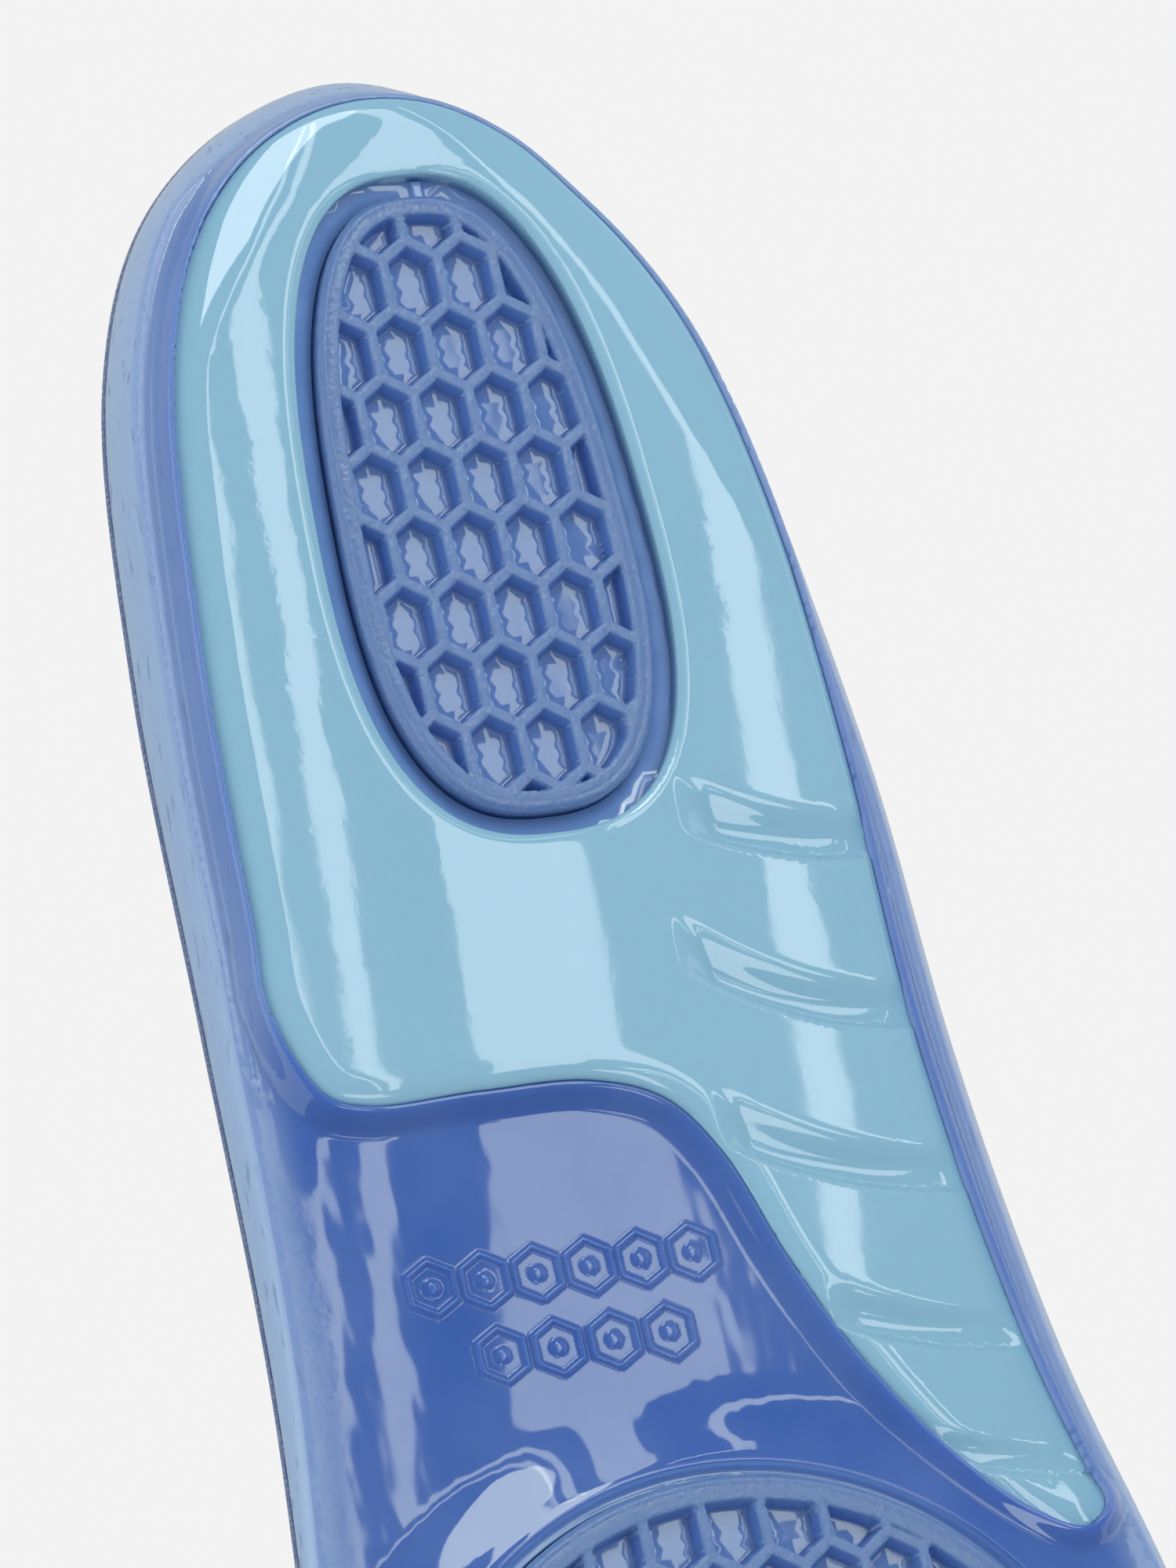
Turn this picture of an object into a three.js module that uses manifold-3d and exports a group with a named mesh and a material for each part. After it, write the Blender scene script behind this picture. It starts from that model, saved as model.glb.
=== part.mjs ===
// Cushioned insole for a left foot, resting on its underside.
// Millimetres, +Z up (foot side), +Y toward the toes, +X toward the arch.
// It is written with y = 0 at the back of the heel. The finished group is then
// shifted so that its origin is the centre of the underside of its bounding box.
import * as THREE from 'three';
import { mergeVertices } from 'three/addons/utils/BufferGeometryUtils.js';
import Module from 'manifold-3d';

const wasm = await Module();
wasm.setup();

// ---------- driving dimensions ----------

const LENGTH = 290; // back of the heel to the tip of the toe
const WIDTH = 96.5; // widest place, across the ball of the foot
const WIDTH_LATERAL = 44.5; // the part of WIDTH on the outer side of the heel axis

const COVER_THICK = 0.9;
const FILM_THICK = 0.15;
const LAYER_GAP = 0.1; // between cover, film and gel
const FIT_GAP = 0.3; // around every piece that sits in the gel

const HEEL_TOP = 5.8; // cover height at the middle of the heel cup
const ARCH_TOP = 7.4; // cover height along the middle of the waist
const FOREFOOT_TOP = 5.6; // cover height at the ball and toes
const HEEL_RIM = 11.3;
const ARCH_RIM = 14.5;
const WAIST_RIM = 9.6; // outer side of the waist
const HEEL_FLARE = 3.9; // how far the rim overhangs the underside
const HEEL_INNER_FLARE = 2.6; // the same on the inner side of the heel
const HEEL_BACK_FLARE = 4.5; // the same at the back
const ARCH_FLARE = 7.2;
const FOREFOOT_FLARE = 2.6;

const GEL_BOTTOM = 1.0; // underside of the gel beside the frame and the pads
const RECESS_BOTTOM = 2.6; // underside of the gel between frame and forefoot pad
const RECESS_RAMP = 11; // length of the slope from the recess to the pad
const RECESS_END = 26; // how far behind the pad's middle the recess starts to close

const FRAME_THICK = 2.4;
const FRAME_LIP = 0.8; // gel left showing around the frame
const FRAME_FRONT = 111.4; // y of the frame's straight front edge
const PLINTH_STRIP = 2.4; // gel left at full height along the frame's front edge
const FRAME_EDGE_RISE = 1.0; // how far the frame's underside curls up at its edge
const FRAME_EDGE_REACH = 2.2; // how far in from the edge that curl begins
const GROOVE_DEPTH = 0.7;

const HEEL_WINDOW = { x: 1.4, y: 50, halfWidth: 17.8, halfLength: 35.9 };
const MOAT = 2.4; // trench between the heel pad and the frame
const PAD_THICK = 2.9;
const PAD_RIM = 2.2; // solid border around the cells

const BALL_PAD = { x: 1, y: 188.6, halfWidth: 36.6, halfLength: 34.6 };
const CELL_DEPTH = 2.2;
const CELL_DRAFT = 0.45; // how much each cell wall leans in over its depth
const RIB_WIDTH = 1.15;
const HEEL_CELL_PITCH = 6.0;
const FOREFOOT_CELL_PITCH = 6.4;
const CELL_ROW_RATIO = 1.212; // row pitch over cell pitch
const CELL_POINT_RATIO = 0.327; // height of a cell's pointed end over cell pitch

const RIM_STEPS = 72; // points around each outline
const WINDOW_POWER = 2.6; // fullness of the heel window's egg shape
const WINDOW_SKEW = 0.1; // how much wider the window is toward the toes

// Where the rim passes, as [x, y, rim height, flare]. The x values are shares of
// the outer or inner width, the y values shares of the length.
const IN = WIDTH - WIDTH_LATERAL;
const OUT = -WIDTH_LATERAL;
const RIM_POINTS = [
  [0.02 * IN, 0, HEEL_RIM, HEEL_BACK_FLARE],
  [0.25 * IN, 0.0195, HEEL_RIM, HEEL_INNER_FLARE],
  [0.447 * IN, 0.0562, HEEL_RIM, HEEL_INNER_FLARE],
  [0.602 * IN, 0.1034, HEEL_RIM, HEEL_INNER_FLARE],
  [0.715 * IN, 0.1724, 0.7 * HEEL_RIM + 0.3 * ARCH_RIM, 0.8 * HEEL_INNER_FLARE + 0.2 * ARCH_FLARE],
  [0.795 * IN, 0.269, 0.25 * HEEL_RIM + 0.75 * ARCH_RIM, 0.35 * HEEL_INNER_FLARE + 0.65 * ARCH_FLARE],
  [0.832 * IN, 0.386, ARCH_RIM, ARCH_FLARE],
  [0.884 * IN, 0.493, 0.72 * ARCH_RIM + 0.28 * FOREFOOT_TOP, 0.8 * ARCH_FLARE + 0.2 * FOREFOOT_FLARE],
  [0.96 * IN, 0.586, 0.2 * ARCH_RIM + 0.8 * FOREFOOT_TOP, 0.3 * ARCH_FLARE + 0.7 * FOREFOOT_FLARE],
  [IN, 0.676, FOREFOOT_TOP, FOREFOOT_FLARE],
  [0.952 * IN, 0.786, FOREFOOT_TOP, FOREFOOT_FLARE],
  [0.79 * IN, 0.886, FOREFOOT_TOP, FOREFOOT_FLARE],
  [0.5 * IN, 0.966, FOREFOOT_TOP, FOREFOOT_FLARE],
  [0.13 * IN, 1, FOREFOOT_TOP, FOREFOOT_FLARE],
  [0.27 * OUT, 0.979, FOREFOOT_TOP, FOREFOOT_FLARE],
  [0.652 * OUT, 0.903, FOREFOOT_TOP, FOREFOOT_FLARE],
  [0.91 * OUT, 0.803, FOREFOOT_TOP, FOREFOOT_FLARE],
  [OUT, 0.697, FOREFOOT_TOP, FOREFOOT_FLARE],
  [0.957 * OUT, 0.586, 0.15 * WAIST_RIM + 0.85 * FOREFOOT_TOP, 0.3 * HEEL_FLARE + 0.7 * FOREFOOT_FLARE],
  [0.877 * OUT, 0.469, 0.6 * WAIST_RIM + 0.4 * FOREFOOT_TOP, 0.7 * HEEL_FLARE + 0.3 * FOREFOOT_FLARE],
  [0.84 * OUT, 0.338, WAIST_RIM, HEEL_FLARE],
  [0.806 * OUT, 0.214, 0.8 * HEEL_RIM + 0.2 * WAIST_RIM, HEEL_FLARE],
  [0.71 * OUT, 0.1034, HEEL_RIM, HEEL_FLARE],
  [0.535 * OUT, 0.0455, HEEL_RIM, HEEL_FLARE],
  [0.27 * OUT, 0.0114, HEEL_RIM, HEEL_FLARE],
];

// The x values from here on are drawn for a sole with these two widths, to the
// inner and the outer side of the heel axis, and stretch with the real ones.
const DRAWN = { inner: 52, outer: 44.5 };

function stretched(x) {
  return x > 0 ? (x * IN) / DRAWN.inner : (x * -OUT) / DRAWN.outer;
}

function stretchedOutline({ x, y, halfWidth, halfLength }) {
  const [from, to] = [stretched(x - halfWidth), stretched(x + halfWidth)];
  return { x: (from + to) / 2, y, halfWidth: (to - from) / 2, halfLength };
}

const WINDOW = stretchedOutline(HEEL_WINDOW);
const FOREFOOT_PAD = stretchedOutline(BALL_PAD);

// The frame's free front edge, from the tip of its arch wing back to its outer
// corner, as [x, y past the straight front edge].
const FRAME_FRONT_POINTS = [
  [43.4, 50.6],
  [40.4, 52.8],
  [34.3, 49.7],
  [27.1, 42.1],
  [20.2, 31.6],
  [15.3, 20.8],
  [11.2, 9.6],
  [6.4, 3.2],
  [-1, 0.4],
  [-13, 0],
  [-25.2, 0],
  [-29.2, -1.8],
].map(([x, y]) => [stretched(x), y + FRAME_FRONT]);
const WING_TIP_Y = FRAME_FRONT + 47; // where the wing leaves the edge of the sole
const OUTER_CORNER_Y = FRAME_FRONT - 6.5; // where the outer arm leaves it

// Grooves across the arch wing, as [x and y past the frame's front of the point,
// length, width at the open end, slope].
const GROOVES = [
  [15.0, -30.2, 19.5, 5.0, 0.24],
  [11.2, -15.8, 22.5, 5.0, 0.3],
  [10.6, 2.6, 24.0, 5.0, 0.3],
  [17.6, 23.4, 19.5, 4.4, 0.28],
  [26.0, 40.2, 14.5, 3.6, 0.22],
];

// The line down the middle of the foot that every surface is lofted toward.
const SPINE = { heelX: stretched(1.2), heelY: 34, toeX: stretched(4.5), toeY: LENGTH - 44 };

// ---------- curves ----------

const lerp = THREE.MathUtils.lerp;
const smoothstep = THREE.MathUtils.smoothstep;

function closedCurve(rows) {
  const points = rows.map(([x, y, z = 0]) => new THREE.Vector3(x, y, z));
  return new THREE.CatmullRomCurve3(points, true, 'centripetal');
}

const rimCurve = closedCurve(RIM_POINTS.map(([x, y, z]) => [x, y * LENGTH, z]));
const flareCurve = new THREE.CatmullRomCurve3(
  RIM_POINTS.map(([, , , flare]) => new THREE.Vector3(flare, 0, 0)), true, 'catmullrom',
);

// One station for each step around the rim: its point, inward normal and flare.
function rimStations(count) {
  const stations = [];
  for (let i = 0; i < count; i += 1) {
    const t = rimCurve.getUtoTmapping(i / count);
    const point = rimCurve.getPoint(t);
    const tangent = rimCurve.getTangent(t);
    const normal = new THREE.Vector2(-tangent.y, tangent.x).normalize();
    stations.push({ point, normal, flare: flareCurve.getPoint(t).x });
  }
  return stations;
}

const stations = rimStations(RIM_STEPS);

function insetPoint(station, distance) {
  const { point, normal } = station;
  return new THREE.Vector2(point.x + normal.x * distance, point.y + normal.y * distance);
}

function spinePoint(y) {
  const share = THREE.MathUtils.clamp(y / LENGTH, 0, 1);
  return new THREE.Vector2(
    lerp(SPINE.heelX, SPINE.toeX, share),
    lerp(SPINE.heelY, SPINE.toeY, share),
  );
}

// A point part of the way from the spine (0) to the given outline point (1).
function towardSpine(outer, share) {
  const spine = spinePoint(outer.y);
  return new THREE.Vector2(lerp(spine.x, outer.x, share), lerp(spine.y, outer.y, share));
}

function signedPower(value, power) {
  return Math.sign(value) * Math.abs(value) ** power;
}

// Egg-shaped closed outline, wider toward the toes.
function eggOutline({ x, y, halfWidth, halfLength }, count, power, skew) {
  const points = [];
  for (let i = 0; i < count; i += 1) {
    const angle = (2 * Math.PI * i) / count;
    const along = signedPower(Math.cos(angle), 2 / power);
    const across = signedPower(Math.sin(angle), 2 / power);
    const px = x + halfWidth * across * (1 + skew * along);
    points.push(new THREE.Vector2(px, y + halfLength * along));
  }
  return points.reverse();
}

function grown(outline, by) {
  const { x, y, halfWidth, halfLength } = outline;
  return { x, y, halfWidth: halfWidth + by, halfLength: halfLength + by };
}

const PAD_STEPS = 52; // points around the window and around each pad
const HEEL_PAD = grown(WINDOW, -MOAT);

function heelPadOutline(pad) {
  return eggOutline(pad, PAD_STEPS, WINDOW_POWER, WINDOW_SKEW);
}

function forefootPadOutline(pad) {
  return eggOutline(pad, PAD_STEPS, 2, 0);
}

// ---------- surface heights ----------

function coverCentre(y) {
  const toArch = smoothstep(y, 0.25 * LENGTH, 0.38 * LENGTH);
  const toForefoot = smoothstep(y, 0.4 * LENGTH, 0.55 * LENGTH);
  return lerp(lerp(HEEL_TOP, ARCH_TOP, toArch), FOREFOOT_TOP, toForefoot);
}

const CUP_START = 0.32; // the dish is flat inside this share of its half width

function coverTop(station, share) {
  const spine = spinePoint(station.point.y);
  const centre = coverCentre(lerp(spine.y, station.point.y, share));
  const climb = Math.max(0, (share - CUP_START) / (1 - CUP_START)) ** 2;
  return lerp(centre, station.point.z, climb);
}

function ellipseDistance(x, y, { x: cx, y: cy, halfWidth, halfLength }) {
  const level = Math.hypot((x - cx) / halfWidth, (y - cy) / halfLength);
  return (level - 1) * 0.5 * (halfWidth + halfLength);
}

// Ceiling of the recess under the waist. It dips just below the gel's underside
// where the recess has closed.
function recessCeiling(x, y) {
  const fromPad = ellipseDistance(x, y, FOREFOOT_PAD);
  const ramp = smoothstep(fromPad, 0, RECESS_RAMP);
  const behindBall = 1 - smoothstep(y, FOREFOOT_PAD.y - RECESS_END, FOREFOOT_PAD.y);
  return lerp(GEL_BOTTOM - 0.1, RECESS_BOTTOM, ramp * behindBall);
}

// ---------- solids ----------

function geometryOf(positions, triangles) {
  const geometry = new THREE.BufferGeometry();
  geometry.setAttribute('position', new THREE.Float32BufferAttribute(positions, 3));
  geometry.setIndex(triangles);
  return geometry;
}

// Two triangles between neighbouring loops. The quad is split along its shorter
// diagonal, so that two surfaces a constant height apart are split alike.
function quad(corners, [a, b, c, d]) {
  const split = corners[a].distanceTo(corners[d]) < corners[b].distanceTo(corners[c]);
  return split ? [a, c, d, a, d, b] : [a, c, b, b, c, d];
}

function band(loops, ring, nextRing) {
  const count = loops[0].length;
  const corners = loops.flat();
  const triangles = [];
  for (let i = 0; i < count; i += 1) {
    const next = (i + 1) % count;
    const from = ring * count;
    const to = nextRing * count;
    triangles.push(...quad(corners, [from + i, from + next, to + i, to + next]));
  }
  return triangles;
}

// Triangles inside one loop: cut by ear for any shape, or zipped across a strip
// that runs from the heel, at the first point, to the toe.
function earCap(loop) {
  return THREE.ShapeUtils.triangulateShape(loop, []);
}

function zipCap(loop) {
  const triangles = [];
  let inner = 0;
  let outer = loop.length - 1;
  while (outer - inner > 1) {
    if (loop[inner + 1].y <= loop[outer - 1].y) {
      triangles.push([inner, inner + 1, outer]);
      inner += 1;
    } else {
      triangles.push([inner, outer - 1, outer]);
      outer -= 1;
    }
  }
  return triangles;
}

// A closed body from a stack of loops with equal counts, each a list of Vector3,
// wound counter-clockwise from above and listed from the middle of the top, out
// over the edge, to the middle of the underside.
function loftLoops(loops, cap = earCap) {
  const count = loops[0].length;
  const positions = loops.flat().flatMap((p) => [p.x, p.y, p.z]);
  const triangles = [];
  for (let ring = 0; ring + 1 < loops.length; ring += 1) {
    triangles.push(...band(loops, ring, ring + 1));
  }
  const caps = [[0, loops[0], false], [(loops.length - 1) * count, loops.at(-1), true]];
  for (const [start, loop, facesDown] of caps) {
    for (const [a, b, c] of cap(loop)) {
      triangles.push(start + a, start + (facesDown ? c : b), start + (facesDown ? b : c));
    }
  }
  return geometryOf(positions, triangles);
}

// A closed body under a grid of points, down to a flat floor.
function slab(grid, floor) {
  const columns = grid[0].length;
  const top = grid.flat();
  const count = top.length;
  const positions = [...top, ...raised(top, floor)].flatMap((p) => [p.x, p.y, p.z]);
  const triangles = [];
  for (let row = 0; row + 1 < grid.length; row += 1) {
    for (let column = 0; column + 1 < columns; column += 1) {
      const a = row * columns + column;
      const c = a + columns;
      triangles.push(a, a + 1, c + 1, a, c + 1, c);
      triangles.push(count + a, count + c + 1, count + a + 1, count + a, count + c, count + c + 1);
    }
  }
  const last = grid.length - 1;
  const rim = [];
  for (let column = 0; column < columns - 1; column += 1) {
    rim.push(column);
  }
  for (let row = 0; row < last; row += 1) {
    rim.push(row * columns + columns - 1);
  }
  for (let column = columns - 1; column > 0; column -= 1) {
    rim.push(last * columns + column);
  }
  for (let row = last; row > 0; row -= 1) {
    rim.push(row * columns);
  }
  rim.forEach((a, i) => {
    const b = rim[(i + 1) % rim.length];
    triangles.push(a, count + a, count + b, a, count + b, b);
  });
  return geometryOf(positions, triangles);
}

function raised(points, height) {
  return points.map((p) => new THREE.Vector3(p.x, p.y, height));
}

// Straight-sided or drafted plug between two outlines with equal counts.
function plug(lowOutline, low, highOutline, high) {
  return loftLoops([raised(highOutline, high), raised(lowOutline, low)]);
}

const WELD = 0.001;
const CUT_FLOOR = -1; // every cutter starts this far below the sole

function toManifold(geometry) {
  const bare = geometry.clone();
  bare.deleteAttribute('normal');
  bare.deleteAttribute('uv');
  const merged = mergeVertices(bare, 1e-4);
  return new wasm.Manifold(new wasm.Mesh({
    numProp: 3,
    vertProperties: new Float32Array(merged.attributes.position.array),
    triVerts: new Uint32Array(merged.index.array),
  }));
}

// The cut solid as a geometry, with corners closer than WELD made one.
function fromManifold(solid) {
  const { numProp, vertProperties, triVerts } = solid.getMesh();
  const positions = [];
  for (let i = 0; i < vertProperties.length; i += numProp) {
    positions.push(vertProperties[i], vertProperties[i + 1], vertProperties[i + 2]);
  }
  const welded = mergeVertices(geometryOf(positions, Array.from(triVerts)), WELD);
  const corners = welded.index.array;
  const kept = [];
  for (let i = 0; i < corners.length; i += 3) {
    const [a, b, c] = [corners[i], corners[i + 1], corners[i + 2]];
    if (a !== b && b !== c && c !== a) {
      kept.push(a, b, c);
    }
  }
  return geometryOf(Array.from(welded.attributes.position.array), kept);
}

function joined(geometries) {
  return geometries.map(toManifold).reduce((all, next) => all.add(next));
}

// ---------- top cover and film ----------

// Shares of the half width at which the foot side has a loop. The film stops
// just short of the rim, so it is sealed in.
const FILM_SHARES = [0.12, 0.4, 0.65, 0.85, 0.97];
const FOOT_SHARES = [...FILM_SHARES, 1];

// One loop of the foot side, at a depth below the surface of the cover.
function footLoop(share, depth) {
  return stations.map((station) => {
    const plan = towardSpine(station.point, share);
    return new THREE.Vector3(plan.x, plan.y, coverTop(station, share) - depth);
  });
}

// A thin sheet that follows the foot side, between two depths below its surface.
function footSheet(topDepth, bottomDepth, shares) {
  const above = shares.map((share) => footLoop(share, topDepth));
  const below = shares.map((share) => footLoop(share, bottomDepth)).reverse();
  return loftLoops([...above, ...below], zipCap);
}

const FILM_DEPTH = COVER_THICK + LAYER_GAP;
const GEL_DEPTH = FILM_DEPTH + FILM_THICK + LAYER_GAP;

// ---------- arch and heel frame ----------

const FRAME_STEPS = 88; // points around the frame's outline

// Outline of the frame: the edge of the sole around the heel, then the free front.
function frameOutline() {
  const soleEdge = stations.map((s) => ({
    point: insetPoint(s, s.flare + FRAME_LIP),
    inner: s.point.x > spinePoint(s.point.y).x,
  }));
  const start = soleEdge.findIndex(({ point, inner }, i) => (
    !inner && point.y < OUTER_CORNER_Y && soleEdge.at(i - 1).point.y >= OUTER_CORNER_Y
  ));
  const heel = [];
  for (let i = 0; i < soleEdge.length; i += 1) {
    const { point, inner } = soleEdge[(start + i) % soleEdge.length];
    if (point.y > (inner ? WING_TIP_Y : OUTER_CORNER_Y)) {
      break;
    }
    heel.push([point.x, point.y]);
  }
  const outline = closedCurve([...heel, ...FRAME_FRONT_POINTS]);
  return outline.getSpacedPoints(FRAME_STEPS).slice(0, FRAME_STEPS);
}

const frameEdge = frameOutline();

// The outline pushed outward by a distance, or inward where it is negative.
function offsetOutline(outline, distance) {
  return outline.map((point, i) => {
    const before = outline.at(i - 1);
    const after = outline[(i + 1) % outline.length];
    const outward = new THREE.Vector2(after.y - before.y, before.x - after.x).normalize();
    return new THREE.Vector2(point.x, point.y).addScaledVector(outward, distance);
  });
}

// The underside curls up at the edge, as [distance in from the edge, height].
const FRAME_CURL = [
  [0, FRAME_EDGE_RISE],
  [0.35 * FRAME_EDGE_REACH, 0.4 * FRAME_EDGE_RISE],
  [FRAME_EDGE_REACH, 0],
];

function frameBlank() {
  const curl = FRAME_CURL.map(([inward, height]) => (
    raised(offsetOutline(frameEdge, -inward), height)
  ));
  return loftLoops([raised(frameEdge, FRAME_THICK), ...curl]);
}

const GROOVE_STEPS = 8;

// A crescent that starts at a point and widens to the open edge of the wing.
function grooveCutter([x, y, length, width, slope]) {
  const upper = [];
  const lower = [];
  for (let i = 0; i <= GROOVE_STEPS; i += 1) {
    const share = i / GROOVE_STEPS;
    const bow = Math.sin((share * Math.PI) / 2);
    const px = stretched(x + length * share);
    const py = y + FRAME_FRONT + slope * length * bow;
    upper.push(new THREE.Vector2(px, py));
    lower.push(new THREE.Vector2(px, py + width * bow));
  }
  const outline = [...upper, ...lower.slice(1).reverse()];
  return plug(outline, CUT_FLOOR, outline, GROOVE_DEPTH);
}

function archFrame() {
  const window = heelPadOutline(WINDOW);
  const windowCutter = toManifold(plug(window, CUT_FLOOR, window, FRAME_THICK - CUT_FLOOR));
  let solid = toManifold(frameBlank()).subtract(windowCutter);
  for (const groove of GROOVES) {
    solid = solid.subtract(toManifold(grooveCutter(groove)));
  }
  return fromManifold(solid);
}

// ---------- honeycomb pads ----------

// Corners of one cell, pulled in from the rib centre lines by a distance.
function cellOutline(cx, cy, pitch, pull) {
  const half = pitch / 2;
  const point = pitch * CELL_POINT_RATIO;
  const shoulder = (pitch * CELL_ROW_RATIO - point) / 2;
  const slant = Math.hypot(half, point);
  const tip = shoulder + point - (pull * slant) / half;
  const side = half - pull;
  const corner = tip - (side * point) / half;
  const corners = [[0, -tip], [side, -corner], [side, corner], [0, tip], [-side, corner], [-side, -corner]];
  return corners.map(([x, y]) => new THREE.Vector2(cx + x, cy + y));
}

function cellCentres(pad, pitch, anchor) {
  const rowPitch = pitch * CELL_ROW_RATIO;
  const rows = Math.ceil(pad.halfLength / rowPitch) + 1;
  const columns = Math.ceil(pad.halfWidth / pitch) + 1;
  const centres = [];
  for (let row = -rows; row <= rows; row += 1) {
    for (let column = -columns; column <= columns; column += 1) {
      const x = anchor.x + (column + (Math.abs(row) % 2) / 2) * pitch;
      centres.push([x, anchor.y + row * rowPitch]);
    }
  }
  return centres;
}

const EDGE_CELL_REACH = 1.4; // cells centred further out than this are left out

function honeycombPad(pad, outlineOf, pitch, anchor) {
  const outer = outlineOf(pad);
  const field = grown(pad, -PAD_RIM);
  const inner = outlineOf(field);
  const body = toManifold(plug(outer, 0, outer, PAD_THICK));
  const limit = toManifold(plug(inner, CUT_FLOOR, inner, CELL_DEPTH));
  const cells = cellCentres(pad, pitch, anchor)
    .filter(([x, y]) => ellipseDistance(x, y, field) < EDGE_CELL_REACH)
    .flatMap(([x, y]) => {
      const mouth = cellOutline(x, y, pitch, RIB_WIDTH / 2);
      const ceiling = cellOutline(x, y, pitch, RIB_WIDTH / 2 + CELL_DRAFT);
      return [plug(mouth, CUT_FLOOR, mouth, 0), plug(mouth, 0, ceiling, CELL_DEPTH)];
    });
  return fromManifold(body.subtract(joined(cells).intersect(limit)));
}

// ---------- gel body ----------

const BOTTOM_SHARES = [1, 0.85, 0.5, 0.12];

// The stepped side wall, as [share of the flare, share of the height], from the
// rim down to the sole.
const WALL_STEPS = [[0.42, 0.33], [0.72, 0.28]];

function gelLoops() {
  const top = FOOT_SHARES.map((share) => footLoop(share, GEL_DEPTH));
  const wall = WALL_STEPS.map(([out, up]) => stations.map((station) => {
    const plan = insetPoint(station, station.flare * out);
    const rim = station.point.z - GEL_DEPTH;
    return new THREE.Vector3(plan.x, plan.y, lerp(GEL_BOTTOM, rim, up));
  }));
  const sole = stations.map((station) => insetPoint(station, station.flare));
  const bottom = BOTTOM_SHARES.map((share) => (
    raised(sole.map((edge) => towardSpine(edge, share)), GEL_BOTTOM)
  ));
  return [...top, ...wall, ...bottom];
}

// Where the strip of gel along the frame's front edge ends, for a given x.
function plinthLine(x) {
  const front = FRAME_FRONT_POINTS.map(([px, py]) => new THREE.Vector2(px, py));
  const line = front.map((point, i) => {
    const before = front[Math.max(i - 1, 0)];
    const after = front[Math.min(i + 1, front.length - 1)];
    const outward = new THREE.Vector2(after.y - before.y, before.x - after.x).normalize();
    return point.clone().addScaledVector(outward, PLINTH_STRIP);
  }).reverse();
  const next = line.findIndex((point) => point.x > x);
  if (next <= 0) {
    return next === 0 ? line[0].y : line.at(-1).y;
  }
  const [from, to] = [line[next - 1], line[next]];
  return lerp(from.y, to.y, (x - from.x) / (to.x - from.x));
}

const RECESS_COLUMNS = 30;
const RECESS_ROWS = 7;
const RECESS_REACH = 0.6 * WIDTH; // past the sole on both sides

// The space under the waist, from the plinth line to the ball of the foot.
function recessCutter() {
  const ceiling = [];
  for (let row = 0; row <= RECESS_ROWS; row += 1) {
    const line = [];
    for (let column = 0; column <= RECESS_COLUMNS; column += 1) {
      const x = lerp(-RECESS_REACH, RECESS_REACH, column / RECESS_COLUMNS);
      const y = lerp(plinthLine(x), FOREFOOT_PAD.y, row / RECESS_ROWS);
      line.push(new THREE.Vector3(x, y, recessCeiling(x, y)));
    }
    ceiling.push(line);
  }
  return slab(ceiling, CUT_FLOOR);
}

// Room for the frame, and for the trench around the heel pad inside its window.
function framePocket() {
  const outer = offsetOutline(frameEdge, FIT_GAP);
  return plug(outer, CUT_FLOOR, outer, FRAME_THICK + FIT_GAP);
}

function gelBody() {
  let solid = toManifold(loftLoops(gelLoops(), zipCap));
  solid = solid.subtract(toManifold(recessCutter()));
  solid = solid.subtract(toManifold(framePocket()));
  const pockets = [[HEEL_PAD, heelPadOutline], [FOREFOOT_PAD, forefootPadOutline]];
  for (const [pad, outlineOf] of pockets) {
    const outline = outlineOf(grown(pad, FIT_GAP));
    const pocket = plug(outline, CUT_FLOOR, outline, PAD_THICK + FIT_GAP);
    solid = solid.subtract(toManifold(pocket));
  }
  return fromManifold(solid);
}

// ---------- assembly ----------

function part(name, geometry, color, roughness) {
  const material = new THREE.MeshStandardMaterial({ color, roughness, metalness: 0 });
  const mesh = new THREE.Mesh(geometry, material);
  mesh.name = name;
  return mesh;
}

const GEL_BLUE = 0x3f63ad;
const FRAME_BLUE = 0x94c9e0;
const FABRIC_BLUE = 0x39557f;
const FILM_CLEAR = 0xd8dde6;

// The middle of one cell in each pad.
const heelAnchor = { x: WINDOW.x - 1.4, y: WINDOW.y + 5.0 };
const forefootAnchor = {
  x: FOREFOOT_PAD.x - 1.6 + FOREFOOT_CELL_PITCH / 2,
  y: FOREFOOT_PAD.y + 1.6,
};

const insole = new THREE.Group();
insole.add(
  part('top_cover', footSheet(0, COVER_THICK, FOOT_SHARES), FABRIC_BLUE, 0.9),
  part('bond_film', footSheet(FILM_DEPTH, FILM_DEPTH + FILM_THICK, FILM_SHARES), FILM_CLEAR, 0.4),
  part('gel_body', gelBody(), GEL_BLUE, 0.2),
  part('arch_heel_frame', archFrame(), FRAME_BLUE, 0.15),
  part(
    'heel_pad',
    honeycombPad(HEEL_PAD, heelPadOutline, HEEL_CELL_PITCH, heelAnchor),
    GEL_BLUE,
    0.3,
  ),
  part(
    'forefoot_pad',
    honeycombPad(FOREFOOT_PAD, forefootPadOutline, FOREFOOT_CELL_PITCH, forefootAnchor),
    GEL_BLUE,
    0.3,
  ),
);

const bounds = new THREE.Box3().setFromObject(insole);
const middle = bounds.getCenter(new THREE.Vector3());
for (const mesh of insole.children) {
  mesh.position.set(-middle.x, -middle.y, -bounds.min.z);
}

export default insole;
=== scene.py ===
"""The looks of a left-foot cushioned insole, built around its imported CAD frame.

Shapes are worked out in millimetres in the insole's own drawing axes: y = 0 at the
back of the heel, x = 0 on the heel axis, x toward the arch, z toward the foot.
to_frame() turns them into metres in the frame's axes.
"""

import math
from collections import namedtuple

import bpy
import numpy as np
from mathutils import Matrix, Vector
from mathutils.geometry import delaunay_2d_cdt
from mathutils.kdtree import KDTree


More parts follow.
